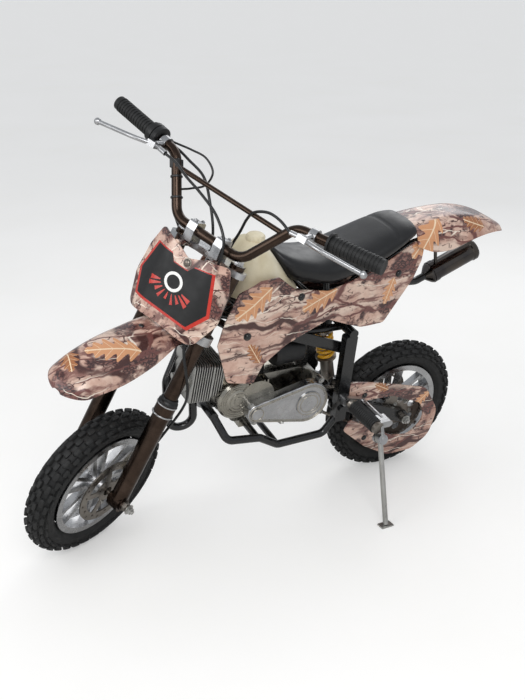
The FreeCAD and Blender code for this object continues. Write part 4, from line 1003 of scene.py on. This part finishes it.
@dataclass
class PlateArt:
    """Printed sheet on the number plate: border, dark field, slashes and a blank ring."""

    # Corners: side and along, clockwise from the top left
    border: tuple[tuple[float, float], ...] = (
        (-89, 579), (-112, 505), (-88, 452), (72, 452), (100, 498), (74, 586), (26, 577), (14, 562),
        (-28, 562), (-40, 577))
    lift: float = 0.35

    def on_plate(self, shop: Workshop, points: np.ndarray) -> np.ndarray:
        """How far ahead the plate's face lies at each side and along, found by rays from in front.

        Args:
            shop: casts the rays.
            points: (n, 2) or more, side and along in mm.

        Returns:
            Distance ahead in mm, not a number where no ray met it.
        """
        start = Stance.fork(points[:, 1], 260.0, points[:, 0])
        hits = [shop.surface("number_plate", True, at, -Stance.ahead) for at in start]
        ahead = [float((hit[0][0] - at) @ Stance.ahead) + 260.0 if hit else np.nan
                 for hit, at in zip(hits, start)]
        return np.asarray(ahead)

    def build(self, shop: Workshop) -> None:
        """Cuts each layer from its outline, creased every few mm so that it follows the bend.

        Args:
            shop: makes and finishes the piece.
        """
        edge = np.array(self.border, float)
        middle = edge.mean(axis=0)
        inner = middle + (edge - middle) * 0.93
        rays = np.radians(np.arange(200, 345, 17))
        layers = [("plate_border", edge, "decal_red", 0.0), ("plate_field", inner, "decal_black", 0.35)]
        for i, ray in enumerate(rays):
            way = np.array([math.cos(ray), math.sin(ray) * 0.62])
            aside = np.array([-way[1], way[0]])
            start = np.array([-6.0, 520.0]) + way * 34
            end = start + way * (26 + 9 * (i % 2))
            slash = np.array([start - aside * 1.2, start + aside * 1.2, end + aside * 6, end - aside * 5])
            layers.append((f"plate_slash_{i}", slash, "decal_red", 0.7))
        ring = np.radians(np.arange(0, 360, 10))
        disc = np.stack([-6 + 24 * np.cos(ring), 524 + 21 * np.sin(ring)], axis=-1)
        hole = np.stack([-6 + 17 * np.cos(ring), 524 + 14.5 * np.sin(ring)], axis=-1)
        layers += [("plate_ring", disc, "decal_white", 0.8), ("plate_blank", hole, "decal_black", 1.1)]
        for name, outline, paint, lift in layers:
            work = bmesh.new()
            work.faces.new([work.verts.new((side, along, 0.0)) for side, along in outline])
            for cut in np.arange(-120, 121, 8.0):
                bmesh.ops.bisect_plane(work, geom=work.verts[:] + work.edges[:] + work.faces[:],
                                       plane_co=(cut, 0, 0), plane_no=(1, 0, 0))
            work.verts.index_update()
            flat = np.array([v.co[:] for v in work.verts])
            faces = [[v.index for v in f.verts] for f in work.faces]
            work.free()
            face = self.on_plate(shop, flat)
            face = np.where(np.isnan(face), np.nanmin(face), face) + self.lift + lift
            front, back = (Stance.fork(flat[:, 1], face + depth, flat[:, 0]) for depth in (0.0, -0.5))
            shell = Shell()
            shell.points = [front, back]
            shell.faces = faces + [[i + len(flat) for i in f[::-1]] for f in faces]
            sides: dict[tuple[int, int], int] = {}
            for face in faces:
                for a, b in zip(face, face[1:] + face[:1]):
                    sides[min(a, b), max(a, b)] = sides.get((min(a, b), max(a, b)), 0) + 1
            rim = [pair for pair, uses in sides.items() if uses == 1]
            shell.faces += [[a, b, b + len(flat), a + len(flat)] for a, b in rim]
            shop.finish(shell, name, "steering", "camo_plastic", paint)


@dataclass
class Hardware:
    """Bolts, nuts and washers that show, each seated on its node by a ray."""

    # Piece, node, body, paint, ray direction, head, radius, starting points in the bike frame
    sets: tuple[tuple[str, str, str, str, tuple[float, float, float], Head, float, tuple], ...] = ()

    def build(self, shop: Workshop) -> None:
        """Seats each set.

        Args:
            shop: makes and finishes the piece.
        """
        for name, node, body, paint, way, head, radius, spots in self.sets:
            steered = body in ("steering", "front_wheel")
            shell = Shell()
            for at, out in shop.surface(node, steered, np.array(spots, float), way):
                fastener(shell, at, out, radius, head)
            if shell.count:
                shop.finish(shell, name, body, "silver_alloy" if paint == "zinc_steel" else paint, paint)
            else:
                log.warning("%s: nothing met %s", name, node)


@dataclass
class DriveChain:
    """Roller chain: oval side plates in pairs on rollers, along both runs and round both sprockets."""

    front: tuple[float, float, float] = (318.0, 325.0, 24.0)
    rear: tuple[float, float, float] = (0.0, 193.0, 72.0)
    y: float = 47.0
    pitch: float = 9.0

    def path(self) -> tuple[np.ndarray, np.ndarray]:
        """Pin places: equal steps along the two tangent runs and the two arcs.

        Returns:
            The pin before and the pin after each link, x and z.
        """
        (fx, fz, fr), (rx, rz, rr) = self.front, self.rear
        span = math.hypot(fx - rx, fz - rz)
        slope = math.atan2(fz - rz, fx - rx)
        tilt = math.acos((rr - fr) / span)
        up, down = slope + tilt, slope - tilt
        arcs = []
        for cx, cz, r, start, end in ((rx, rz, rr, up, down + 2 * math.pi), (fx, fz, fr, down, up)):
            angle = np.linspace(start, end, 90)
            arcs.append(np.stack([cx + r * np.cos(angle), cz + r * np.sin(angle)], axis=-1))
        loop = np.concatenate(arcs + [arcs[0][:1]])
        length = np.concatenate([[0], np.cumsum(np.linalg.norm(np.diff(loop, axis=0), axis=1))])
        count = int(round(length[-1] / self.pitch / 2)) * 2
        at = np.linspace(0, length[-1], count + 1)
        pins = np.stack([np.interp(at, length, loop[:, i]) for i in (0, 1)], axis=-1)
        return pins[:-1], pins[1:]

    def build(self, shop: Workshop) -> None:
        """Makes the chain in place of its node.

        Args:
            shop: makes and finishes the piece.
        """
        start, end = self.path()
        middle, along = (start + end) / 2, end - start
        along /= np.linalg.norm(along, axis=1, keepdims=True)
        square = np.stack([-along[:, 1], along[:, 0]], axis=-1)
        angle = np.arange(14) * 2 * math.pi / 14
        wide = 3.6 - 0.9 * np.abs(np.sin(angle)) ** 3
        oval = np.stack([np.cos(angle) * (self.pitch / 2 + 3.2), np.sin(angle) * wide], axis=-1)
        ring = (middle[:, None] + oval[None, :, 0, None] * along[:, None]
                + oval[None, :, 1, None] * square[:, None])
        shell = Shell()
        for side in (-1, 1):
            out = np.where(np.arange(len(ring)) % 2 == 0, 3.0, 4.1)[:, None]
            layers = []
            for depth in (0.0, 0.9):
                y = np.broadcast_to(self.y + side * (out + depth), ring.shape[:2])
                layers.append(np.stack([ring[..., 0], y, ring[..., 1]], axis=-1))
            shell.add(np.stack(layers, axis=1))
        round_ = np.arange(8) * 2 * math.pi / 8
        barrel = start[:, None] + 2.4 * np.stack([np.cos(round_), np.sin(round_)], axis=-1)[None]
        ends = [np.stack([barrel[..., 0], np.full(barrel.shape[:2], y), barrel[..., 1]], axis=-1)
                for y in (self.y - 5.4, self.y + 5.4)]
        shell.add(np.stack(ends, axis=1))
        shop.finish(shell, "roller_chain", "frame", "steel", replaces=["drive_chain"], sharp=30)


@dataclass
class Tank:
    """Moulded fuel tank with soft shoulders, and its low ribbed cap."""

    # Stations: x, half width, top, bottom
    stations: tuple[tuple[float, float, float, float], ...] = (
        (370, 52, 642, 612), (392, 66, 664, 612), (418, 75, 700, 613), (444, 78, 733, 614),
        (474, 78, 745, 616), (500, 73, 728, 620), (520, 60, 690, 624), (534, 38, 652, 628))
    cap: tuple[float, float, float] = (462.0, 0.0, 742.0)
    rows: int = 56
    columns: int = 60

    def build(self, shop: Workshop) -> None:
        """Superelliptic rings: y = w cos^0.7, z = middle + h sin^0.85 above it and h sin^0.5 below.

        Args:
            shop: makes and finishes the piece.
        """
        table = np.array(self.stations)
        x = np.linspace(table[0, 0], table[-1, 0], self.rows)
        half, top, bottom = (curve(x, table[:, 0], table[:, i])[:, None] for i in (1, 2, 3))
        angle = (np.arange(self.columns) * 2 * math.pi / self.columns)[None]
        across_, up = np.cos(angle), np.sin(angle)
        y = half * np.sign(across_) * np.abs(across_) ** 0.7
        middle = bottom + (top - bottom) * 0.3
        z = middle + np.where(up > 0, (top - middle) * np.abs(up) ** 0.85,
                              -(middle - bottom) * np.abs(up) ** 0.5)
        grid = np.stack([np.broadcast_to(x[:, None], y.shape), y, z], axis=-1)
        shop.finish(Shell().add(grid), "tank_moulding", "frame", "ivory_plastic",
                    replaces=["fuel_tank"], sharp=60)
        turn = np.arange(72) * 2 * math.pi / 72
        ribbed = 1 + 0.035 * np.sign(np.sin(turn * 18))
        profile = [(0, -14), (20, -14), (21, 0), (21, 9), (18, 13), (9, 15), (0, 15)]
        rings = lathe(self.cap, (0, 0, 1), profile, 72)
        middle_ = np.asarray(self.cap)
        rings[2:4] = middle_ + (rings[2:4] - middle_) * np.array([1, 1, 0]) * ribbed[:, None] \
            + (rings[2:4] - middle_) * np.array([0, 0, 1])
        shop.finish(Shell().add(rings), "tank_cap", "frame", "ivory_plastic", replaces=["fuel_cap"])


@dataclass
class Cables:
    """Sheathed control cables: smooth curves through points that follow the CAD routes."""

    radius: float = 3.1
    # Along, ahead, side of points on each cable, bars straight
    routes: tuple[tuple[tuple[float, float, float], ...], ...] = (
        ((741, 97, 174), (750, 94, 142), (750, 89, 110), (733, 80, 74), (708, 58, 54), (676, 38, 42),
         (640, 26, 32), (606, 22, 28)),
        ((755, 47, -211), (753, 44, -180), (746, 42, -148), (732, 40, -96), (692, 36, -56),
         (646, 30, -24), (606, 24, -8)),
        ((740, 97, -168), (736, 95, -140), (722, 94, -98), (711, 98, -50), (688, 101, 14), (652, 100, 54),
         (594, 91, 62), (530, 86, 60), (470, 82, 60), (410, 82, 72), (362, 73, 100), (316, 44, 110),
         (266, 8, 98), (196, 0, 84), (120, -9, 64), (84, -10, 52)),
        ((757, 43, -231), (762, 36, -190), (766, 33, -156), (766, 27, -118), (746, 23, -90),
         (716, 25, -92), (694, 36, -116), (676, 44, -138), (640, 44, -128), (606, 34, -98)))

    def build(self, shop: Workshop) -> None:
        """Makes the cables in place of their node.

        Args:
            shop: makes and finishes the piece.
        """
        shell = Shell()
        for index, route in enumerate(self.routes):
            table = np.array(route, float)
            step = np.concatenate([[0], np.cumsum(np.linalg.norm(np.diff(table, axis=0), axis=1) ** 0.8)])
            at = np.linspace(0, step[-1], 14 * len(route))
            along, ahead, side = (curve(at, step, table[:, i]) for i in range(3))
            path = Stance.fork(along, ahead, side)
            shell.add(sweep(path, self.radius if index < 3 else self.radius - 0.7, 12))
        shop.finish(shell, "cable_sheaths", "steering", "black_plastic", "cable_sheath",
                    replaces=["control_cables"], sharp=60)


@dataclass
class ForkDress:
    """Rubber dust seals and spring clips where the tubes enter the lower legs."""

    leg_top: float = 262.0
    sides: tuple[float, ...] = (78.0, -78.0)
    # Profiles: radius and height above the leg's top
    seal: Profile = ((17.0, 5.0), (22.6, 5.0), (23.2, 8.0), (22.8, 12.0), (20.0, 15.0), (20.6, 17.5),
                     (19.4, 20.5), (17.0, 21.5))
    low_clip: Profile = ((22.0, -24.0), (24.6, -23.2), (25.2, -21.5), (24.6, -19.8), (22.0, -19.0))
    high_clip: Profile = ((22.4, 1.5), (24.2, 2.2), (24.6, 3.6), (24.2, 5.0), (22.4, 5.4))

    def build(self, shop: Workshop) -> None:
        """Adds a lipped seal and a wire clip to each leg.

        Args:
            shop: makes and finishes the piece.
        """
        seals, clips = Shell(), Shell()
        for side in self.sides:
            foot = Stance.fork(self.leg_top, FORK_OFFSET, side)
            for shell, profile in ((seals, self.seal), (clips, self.low_clip), (clips, self.high_clip)):
                shell.add(lathe(foot, Stance.axis, profile, 40), closed_rows=True)
        shop.finish(seals, "fork_seals", "steering", "black_plastic")
        shop.finish(clips, "fork_clips", "steering", "silver_alloy")


@dataclass
class EngineDress:
    """Turned rings on the flywheel cover and beads on the drive cover."""

    flywheel: tuple[float, float] = (500.0, 358.0)
    rings: tuple[float, ...] = (50.0, 44.0, 38.5, 33.0, 22.0, 12.0)
    # Drive cover ends: x, z, radius
    ends: tuple[tuple[float, float, float], ...] = ((461.0, 328.0, 25.0), (320.0, 326.0, 56.0))
    face: float = 86.0

    def build(self, shop: Workshop) -> None:
        """Adds the rings and the bead that catch the light.

        Args:
            shop: makes and finishes the piece.
        """
        shell = Shell()
        x, z = self.flywheel
        for radius in self.rings:
            height = 60.2 if radius < 49 else 54.6
            if radius < 28:
                height = 62.2
            shell.add(self.hoop(self.circle(x, height, z, radius), 1.1), closed_rows=True)
        shop.finish(shell, "flywheel_rings", "frame", "cast_alloy", "oiled_cover")
        (ax, az, ar), (bx, bz, br) = self.ends
        span = math.hypot(bx - ax, bz - az)
        lean = math.atan2(bz - az, bx - ax)
        open_ = math.acos((ar - br) / span)
        first = np.linspace(lean + open_, lean - open_ + 2 * math.pi, 60)
        second = np.linspace(lean - open_, lean + open_, 60)
        bead = Shell()
        for inset, radius, height in ((5.0, 1.6, 0.2), (9.0, 0.9, 0.0)):
            points = [np.stack([cx + (r - inset) * np.cos(a), np.full(60, self.face + height),
                                cz + (r - inset) * np.sin(a)], axis=-1)
                      for cx, cz, r, a in ((ax, az, ar, first), (bx, bz, br, second))]
            bead.add(self.hoop(np.concatenate(points), radius), closed_rows=True)
        for cx, cz, r in ((ax, az, 15.5), (bx, bz, 32.0), (bx, bz, 24.0)):
            bead.add(self.hoop(self.circle(cx, self.face + 3.0, cz, r), 1.2), closed_rows=True)
        shop.finish(bead, "drive_cover_beads", "frame", "cast_alloy")

    @staticmethod
    def circle(x: float, y: float, z: float, radius: float) -> np.ndarray:
        """Flat circle of 72 points square to Y.

        Args:
            x: its centre.
            y: its plane.
            z: its centre.
            radius: its radius.

        Returns:
            A (72, 3) path.
        """
        turn = np.linspace(0, 2 * math.pi, 73)[:-1]
        return np.stack([x + radius * np.cos(turn), np.full(72, y), z + radius * np.sin(turn)], axis=-1)

    @staticmethod
    def hoop(loop: np.ndarray, radius: float) -> np.ndarray:
        """Round bead along a closed flat loop: ring = loop + r (cos out + sin Y).

        Args:
            loop: (n, 3) points, square to Y.
            radius: of the bead.

        Returns:
            An (n, 10, 3) grid.
        """
        way = np.roll(loop, -1, axis=0) - np.roll(loop, 1, axis=0)
        way /= np.linalg.norm(way, axis=1, keepdims=True)
        out = np.cross(way, np.array([0.0, 1.0, 0.0]))
        turn = np.arange(10) * 2 * math.pi / 10
        return loop[:, None] + radius * (np.cos(turn)[None, :, None] * out[:, None]
                                         + np.sin(turn)[None, :, None] * np.array([0.0, 1.0, 0.0]))


@dataclass
class BarDress:
    """Two-part throttle case beside the right grip, and the clamp and ties that hold its cables."""

    rise: tuple[tuple[float, float, float], ...] = ((634.0, 72.0, -92.0), (750.0, 65.0, -168.0))
    grip_way: tuple[tuple[float, float, float], ...] = ((750.0, 65.0, -168.0), (773.0, 58.0, -360.0))
    case_side: float = 216.0
    # Radius and height of the case's two halves, with the groove between them
    case: Profile = ((11.2, 0.0), (22.5, 0.4), (25.0, 2.5), (25.4, 12.0), (24.8, 14.2), (23.0, 14.8),
                     (23.0, 15.8), (25.0, 16.4), (25.6, 18.5), (25.2, 27.0), (22.0, 29.5), (17.0, 30.0),
                     (11.2, 30.0))

    def build(self, shop: Workshop) -> None:
        """Adds the case in two halves and the bands round the right rise of the bars.

        Args:
            shop: makes and finishes the piece.
        """
        case, bands = Shell(), Shell()
        start, end = (np.ravel(Stance.fork(*map(np.asarray, p))) for p in self.grip_way)
        share = (self.case_side - 168.0) / 192.0
        case.add(lathe(start + share * (end - start), end - start, self.case, 28), closed_rows=True)
        low, high = (np.ravel(Stance.fork(*map(np.asarray, p))) for p in self.rise)
        for share, half, radius in ((0.82, 9.0, 15.0), (0.62, 2.2, 13.4), (0.3, 2.2, 13.4)):
            profile = [(11.1, -half), (radius - 0.8, -half), (radius, -half + 0.8), (radius, half - 0.8),
                       (radius - 0.8, half), (11.1, half)]
            bands.add(lathe(low + share * (high - low), high - low, profile, 4 if half > 5 else 20),
                      closed_rows=True)
        shop.finish(case, "throttle_case", "steering", "black_plastic", sharp=40)
        shop.finish(bands, "bar_ties", "steering", "black_plastic", sharp=30)


@dataclass
class PegSleeves:
    """Ribbed rubber sleeves on the foot pegs, the alloy tips left bare."""

    root: tuple[float, float, float] = (197.0, 100.0, 301.0)
    tip: tuple[float, float, float] = (182.0, 198.0, 290.0)
    radius: float = 18.0
    ribs: int = 14

    def build(self, shop: Workshop) -> None:
        """Radius = r + 0.7 cos(2 pi ribs s) from near the root to near the tip.

        Args:
            shop: makes and finishes the piece.
        """
        shell = Shell()
        share = np.linspace(0.08, 0.9, self.ribs * 8 + 1)
        for sign in (1.0, -1.0):
            root, tip = (np.array(p) * (1.0, sign, 1.0) for p in (self.root, self.tip))
            swell = self.radius + 0.7 * np.cos(np.linspace(0, 2 * math.pi * self.ribs, len(share)))
            length = float(np.linalg.norm(tip - root))
            profile = [(15.0, share[0] * length), *zip(swell, share * length), (15.0, share[-1] * length)]
            shell.add(lathe(root, tip - root, profile, 28), closed_rows=True)
        shop.finish(shell, "peg_sleeves", "frame", "grip_rubber", sharp=60)


@dataclass
class StayPlates:
    """Flat black stays from the spine to the rear uprights, outside the spring."""

    ends: tuple[tuple[float, float], ...] = ((372.0, 514.0), (206.0, 443.0))
    half_height: float = 14.0
    inner: float = 60.0
    thick: float = 5.0

    def build(self, shop: Workshop) -> None:
        """Adds one plate on each side, its edges bevelled.

        Args:
            shop: makes and finishes the piece.
        """
        shell = Shell()
        a, b = (np.array([x, 0.0, z]) for x, z in self.ends)
        way = (b - a) / np.linalg.norm(b - a)
        rise = np.array([-way[2], 0.0, way[0]])
        square = np.array([[-1, -0.8], [-0.92, -1], [0.92, -1], [1, -0.8], [1, 0.8], [0.92, 1],
                           [-0.92, 1], [-1, 0.8]])
        for sign in (1.0, -1.0):
            middle = np.array([0.0, sign * (self.inner + self.thick / 2), 0.0])
            ring = (square[:, 0, None] * self.half_height * rise
                    + square[:, 1, None] * self.thick / 2 * np.array([0.0, 1.0, 0.0]))
            shell.add(np.stack([a + middle + ring, b + middle + ring]), caps=True)
        shop.finish(shell, "stay_plates", "frame", "black_steel", sharp=30)


def stage_set() -> None:
    """Pale floor that shows white behind the object, soft world light and three soft lamps."""
    mesh = bpy.data.meshes.new("floor")
    mesh.from_pydata([(-150, -150, 0), (150, -150, 0), (150, 150, 0), (-150, 150, 0)], [], [(0, 1, 2, 3)])
    floor = bpy.data.objects.new("floor", mesh)
    bpy.context.scene.collection.objects.link(floor)
    pale = Finish("pale_floor", ("#d9d7d3", "#dfddda"), roughness=0.8, uneven=0.02, patch_mm=900,
                  grain_mm=6, depth_mm=0.02).build()
    tree = pale.node_tree
    seen = tree.nodes.new("ShaderNodeLightPath")
    glow = tree.nodes.new("ShaderNodeMath")
    glow.operation = "MULTIPLY"
    glow.inputs[1].default_value = 0.3
    tree.links.new(seen.outputs["Is Camera Ray"], glow.inputs[0])
    tree.links.new(glow.outputs["Value"], tree.nodes["Principled BSDF"].inputs["Emission Strength"])
    tree.nodes["Principled BSDF"].inputs["Emission Color"].default_value = (1.0, 1.0, 1.0, 1.0)
    mesh.materials.append(pale)
    world = bpy.data.worlds.new("studio")
    bpy.context.scene.world = world
    world.use_nodes = True
    nodes, links = world.node_tree.nodes, world.node_tree.links
    soft = nodes["Background"]
    soft.inputs["Color"].default_value = linear("#e9edf2")
    soft.inputs["Strength"].default_value = 0.7
    white = nodes.new("ShaderNodeBackground")
    white.inputs["Color"].default_value = linear("#dddee0")
    path = nodes.new("ShaderNodeLightPath")
    mix = nodes.new("ShaderNodeMixShader")
    links.new(path.outputs["Is Camera Ray"], mix.inputs["Fac"])
    links.new(soft.outputs["Background"], mix.inputs[1])
    links.new(white.outputs["Background"], mix.inputs[2])
    links.new(mix.outputs["Shader"], nodes["World Output"].inputs["Surface"])
    # Lamps: name, place in m, aim in m, power in W, size in m
    for name, place, aim, power, size in (
            ("key", (1.2, 2.6, 2.6), (0.0, 0.0, 0.4), 55.0, 1.8),
            ("fill", (2.6, 0.2, 1.8), (0.1, 0.0, 0.4), 20.0, 1.6),
            ("back", (-1.8, -1.6, 2.2), (0.0, 0.0, 0.5), 14.0, 1.6)):
        lamp = bpy.data.lights.new(name, "AREA")
        lamp.energy, lamp.size = power, size
        holder = bpy.data.objects.new(name, lamp)
        toward = Vector(aim) - Vector(place)
        holder.matrix_world = Matrix.Translation(place) @ toward.to_track_quat("-Z", "Y").to_matrix().to_4x4()
        bpy.context.scene.collection.objects.link(holder)


def set_camera() -> None:
    """Camera at the photograph's place and angle, fitted for its 525 x 700 frame."""
    camera = bpy.data.cameras.new("camera")
    camera.sensor_fit = "HORIZONTAL"
    camera.sensor_width = SENSOR_MM
    camera.lens = FOCAL_PX / PHOTO_WIDTH_PX * camera.sensor_width
    holder = bpy.data.objects.new("camera", camera)
    yaw, pitch, roll = map(math.radians, (CAMERA_YAW, CAMERA_PITCH, CAMERA_ROLL))
    away = np.array([-math.sin(yaw) * math.cos(pitch), -math.cos(yaw) * math.cos(pitch),
                     -math.sin(pitch)])
    right = np.array([-math.cos(yaw), math.sin(yaw), 0.0])
    up = np.cross(right, away)
    right, up = right * math.cos(roll) - up * math.sin(roll), up * math.cos(roll) + right * math.sin(roll)
    place = np.eye(4)
    place[:3, 0], place[:3, 1], place[:3, 2] = right, up, -away
    place[:3, 3] = (np.array(CAMERA_AT) + SHIFT) / 1000
    holder.matrix_world = Matrix(place.tolist())
    bpy.context.scene.collection.objects.link(holder)
    bpy.context.scene.camera = holder
    bpy.context.scene.view_settings.view_transform = "Standard"


def main() -> None:
    """Builds the sub-assemblies in order."""
    logging.basicConfig(level=logging.INFO, format="%(message)s")
    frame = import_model()
    set_camera()
    stage_set()
    paints = {slot: finish.build() for slot, finish in FINISHES.items()}
    slots = {s["node"]: s["material_slot"] for s in frame["record"]["subparts"]}
    for node, piece in frame["nodes"].items():
        piece.data.materials.clear()
        piece.data.materials.append(paints[NODE_PAINTS.get(node, slots[node])])
    shop = Workshop(frame, paints)
    Tyre("front_tyre", "front_wheel", (WHEELBASE, 0.0, AXLE_HEIGHT)).build(shop)
    Tyre("rear_tyre", "rear_wheel", (0.0, 0.0, AXLE_HEIGHT)).build(shop)
    Saddle().build(shop)
    Fender("beak", "front_fender", "steering",
           ((624, 50, 563.5, 14), (690, 56, 594.2, 20), (785, 66, 607, 42), (870, 68, 608, 46),
            (935, 61, 596, 32), (966, 55, 582, 20), (984, 48, 569, 8)), ridge=0.8, rounded=40.0).build(shop)
    Fender("tail", "tail_fender", "frame",
           ((62, 72, 746, 44), (10, 74, 753, 70), (-36, 74, 756, 74), (-90, 72, 754, 58), (-133, 67, 746, 42),
            (-175, 59, 732, 27), (-214, 48, 713, 13)),
           power=5.0, thick=3.2).build(shop)
    PlateArt().build(shop)
    Tank().build(shop)
    Cables().build(shop)
    ForkDress().build(shop)
    BarDress().build(shop)
    PegSleeves().build(shop)
    StayPlates().build(shop)
    EngineDress().build(shop)
    DriveChain().build(shop)
    side = (0.0, -1.0, 0.0)
    Hardware((
        ("panel_bolts_left", "left_side_panel", "frame", "black_steel", side, Head.DOME, 7.0,
         tuple((x, SIDE_START, z) for x, z in PANEL_BOSSES)),
        ("panel_bolts_right", "right_side_panel", "frame", "black_steel", (0.0, 1.0, 0.0), Head.DOME, 7.0,
         tuple((x, -SIDE_START, z) for x, z in PANEL_BOSSES)),
        ("drive_cover_bolts", "drive_cover", "frame", "zinc_steel", side, Head.HEX, 5.0,
         tuple((x, SIDE_START, z) for x, z in ((463, 299), (476, 351), (404, 379.5), (286, 381.5),
                                               (278, 289), (390, 286)))),
        ("bar_clamp_bolts", "bar_clamps", "steering", "silver_alloy", tuple(-Stance.axis), Head.SOCKET, 4.6,
         tuple(map(tuple, Stance.fork(720.0, np.array([57, 83, 57, 83]), np.array([38, 38, -38, -38]))))),
        ("fork_caps", "fork_tubes", "steering", "silver_alloy", tuple(-Stance.axis), Head.HEX, 11.0,
         tuple(map(tuple, Stance.fork(700.0, FORK_OFFSET, np.array([78, -78]))))),
        ("plate_bolt", "number_plate", "steering", "steel", tuple(-Stance.ahead), Head.DOME, 8.0,
         tuple(map(tuple, Stance.fork(np.array([575.0]), 200.0, np.array([4.0]))))),
        ("fender_bolts", "front_fender", "steering", "black_steel", (0.0, 0.0, -1.0), Head.DOME, 7.5,
         ((748, -14, 700), (700, 22, 700))),
        ("front_disc_bolts", "front_disc", "front_wheel", "zinc_steel", side, Head.SOCKET, 4.2,
         bolt_circle(WHEELBASE, 30.0)),
        ("sprocket_bolts", "rear_sprocket", "rear_wheel", "zinc_steel", side, Head.HEX, 4.6,
         bolt_circle(0.0, 36.0)),
        ("axle_nut_rear", "rear_axle", "frame", "zinc_steel", side, Head.NUT, 9.5,
         ((0, SIDE_START, AXLE_HEIGHT),)),
        ("axle_nut_front", "front_axle", "steering", "zinc_steel", side, Head.NUT, 9.5,
         ((WHEELBASE, SIDE_START, AXLE_HEIGHT),)),
        ("axle_nut_front_right", "front_axle", "steering", "zinc_steel", (0.0, 1.0, 0.0), Head.NUT, 9.5,
         ((WHEELBASE, -SIDE_START, AXLE_HEIGHT),)),
        ("guard_bolts", "chain_guard", "frame", "black_steel", side, Head.DOME, 6.0,
         ((150, SIDE_START, 306), (128, SIDE_START, 166))),
    )).build(shop)
    log.info("pieces: %d", len(frame["nodes"]))


if __name__ == "__main__":
    main()
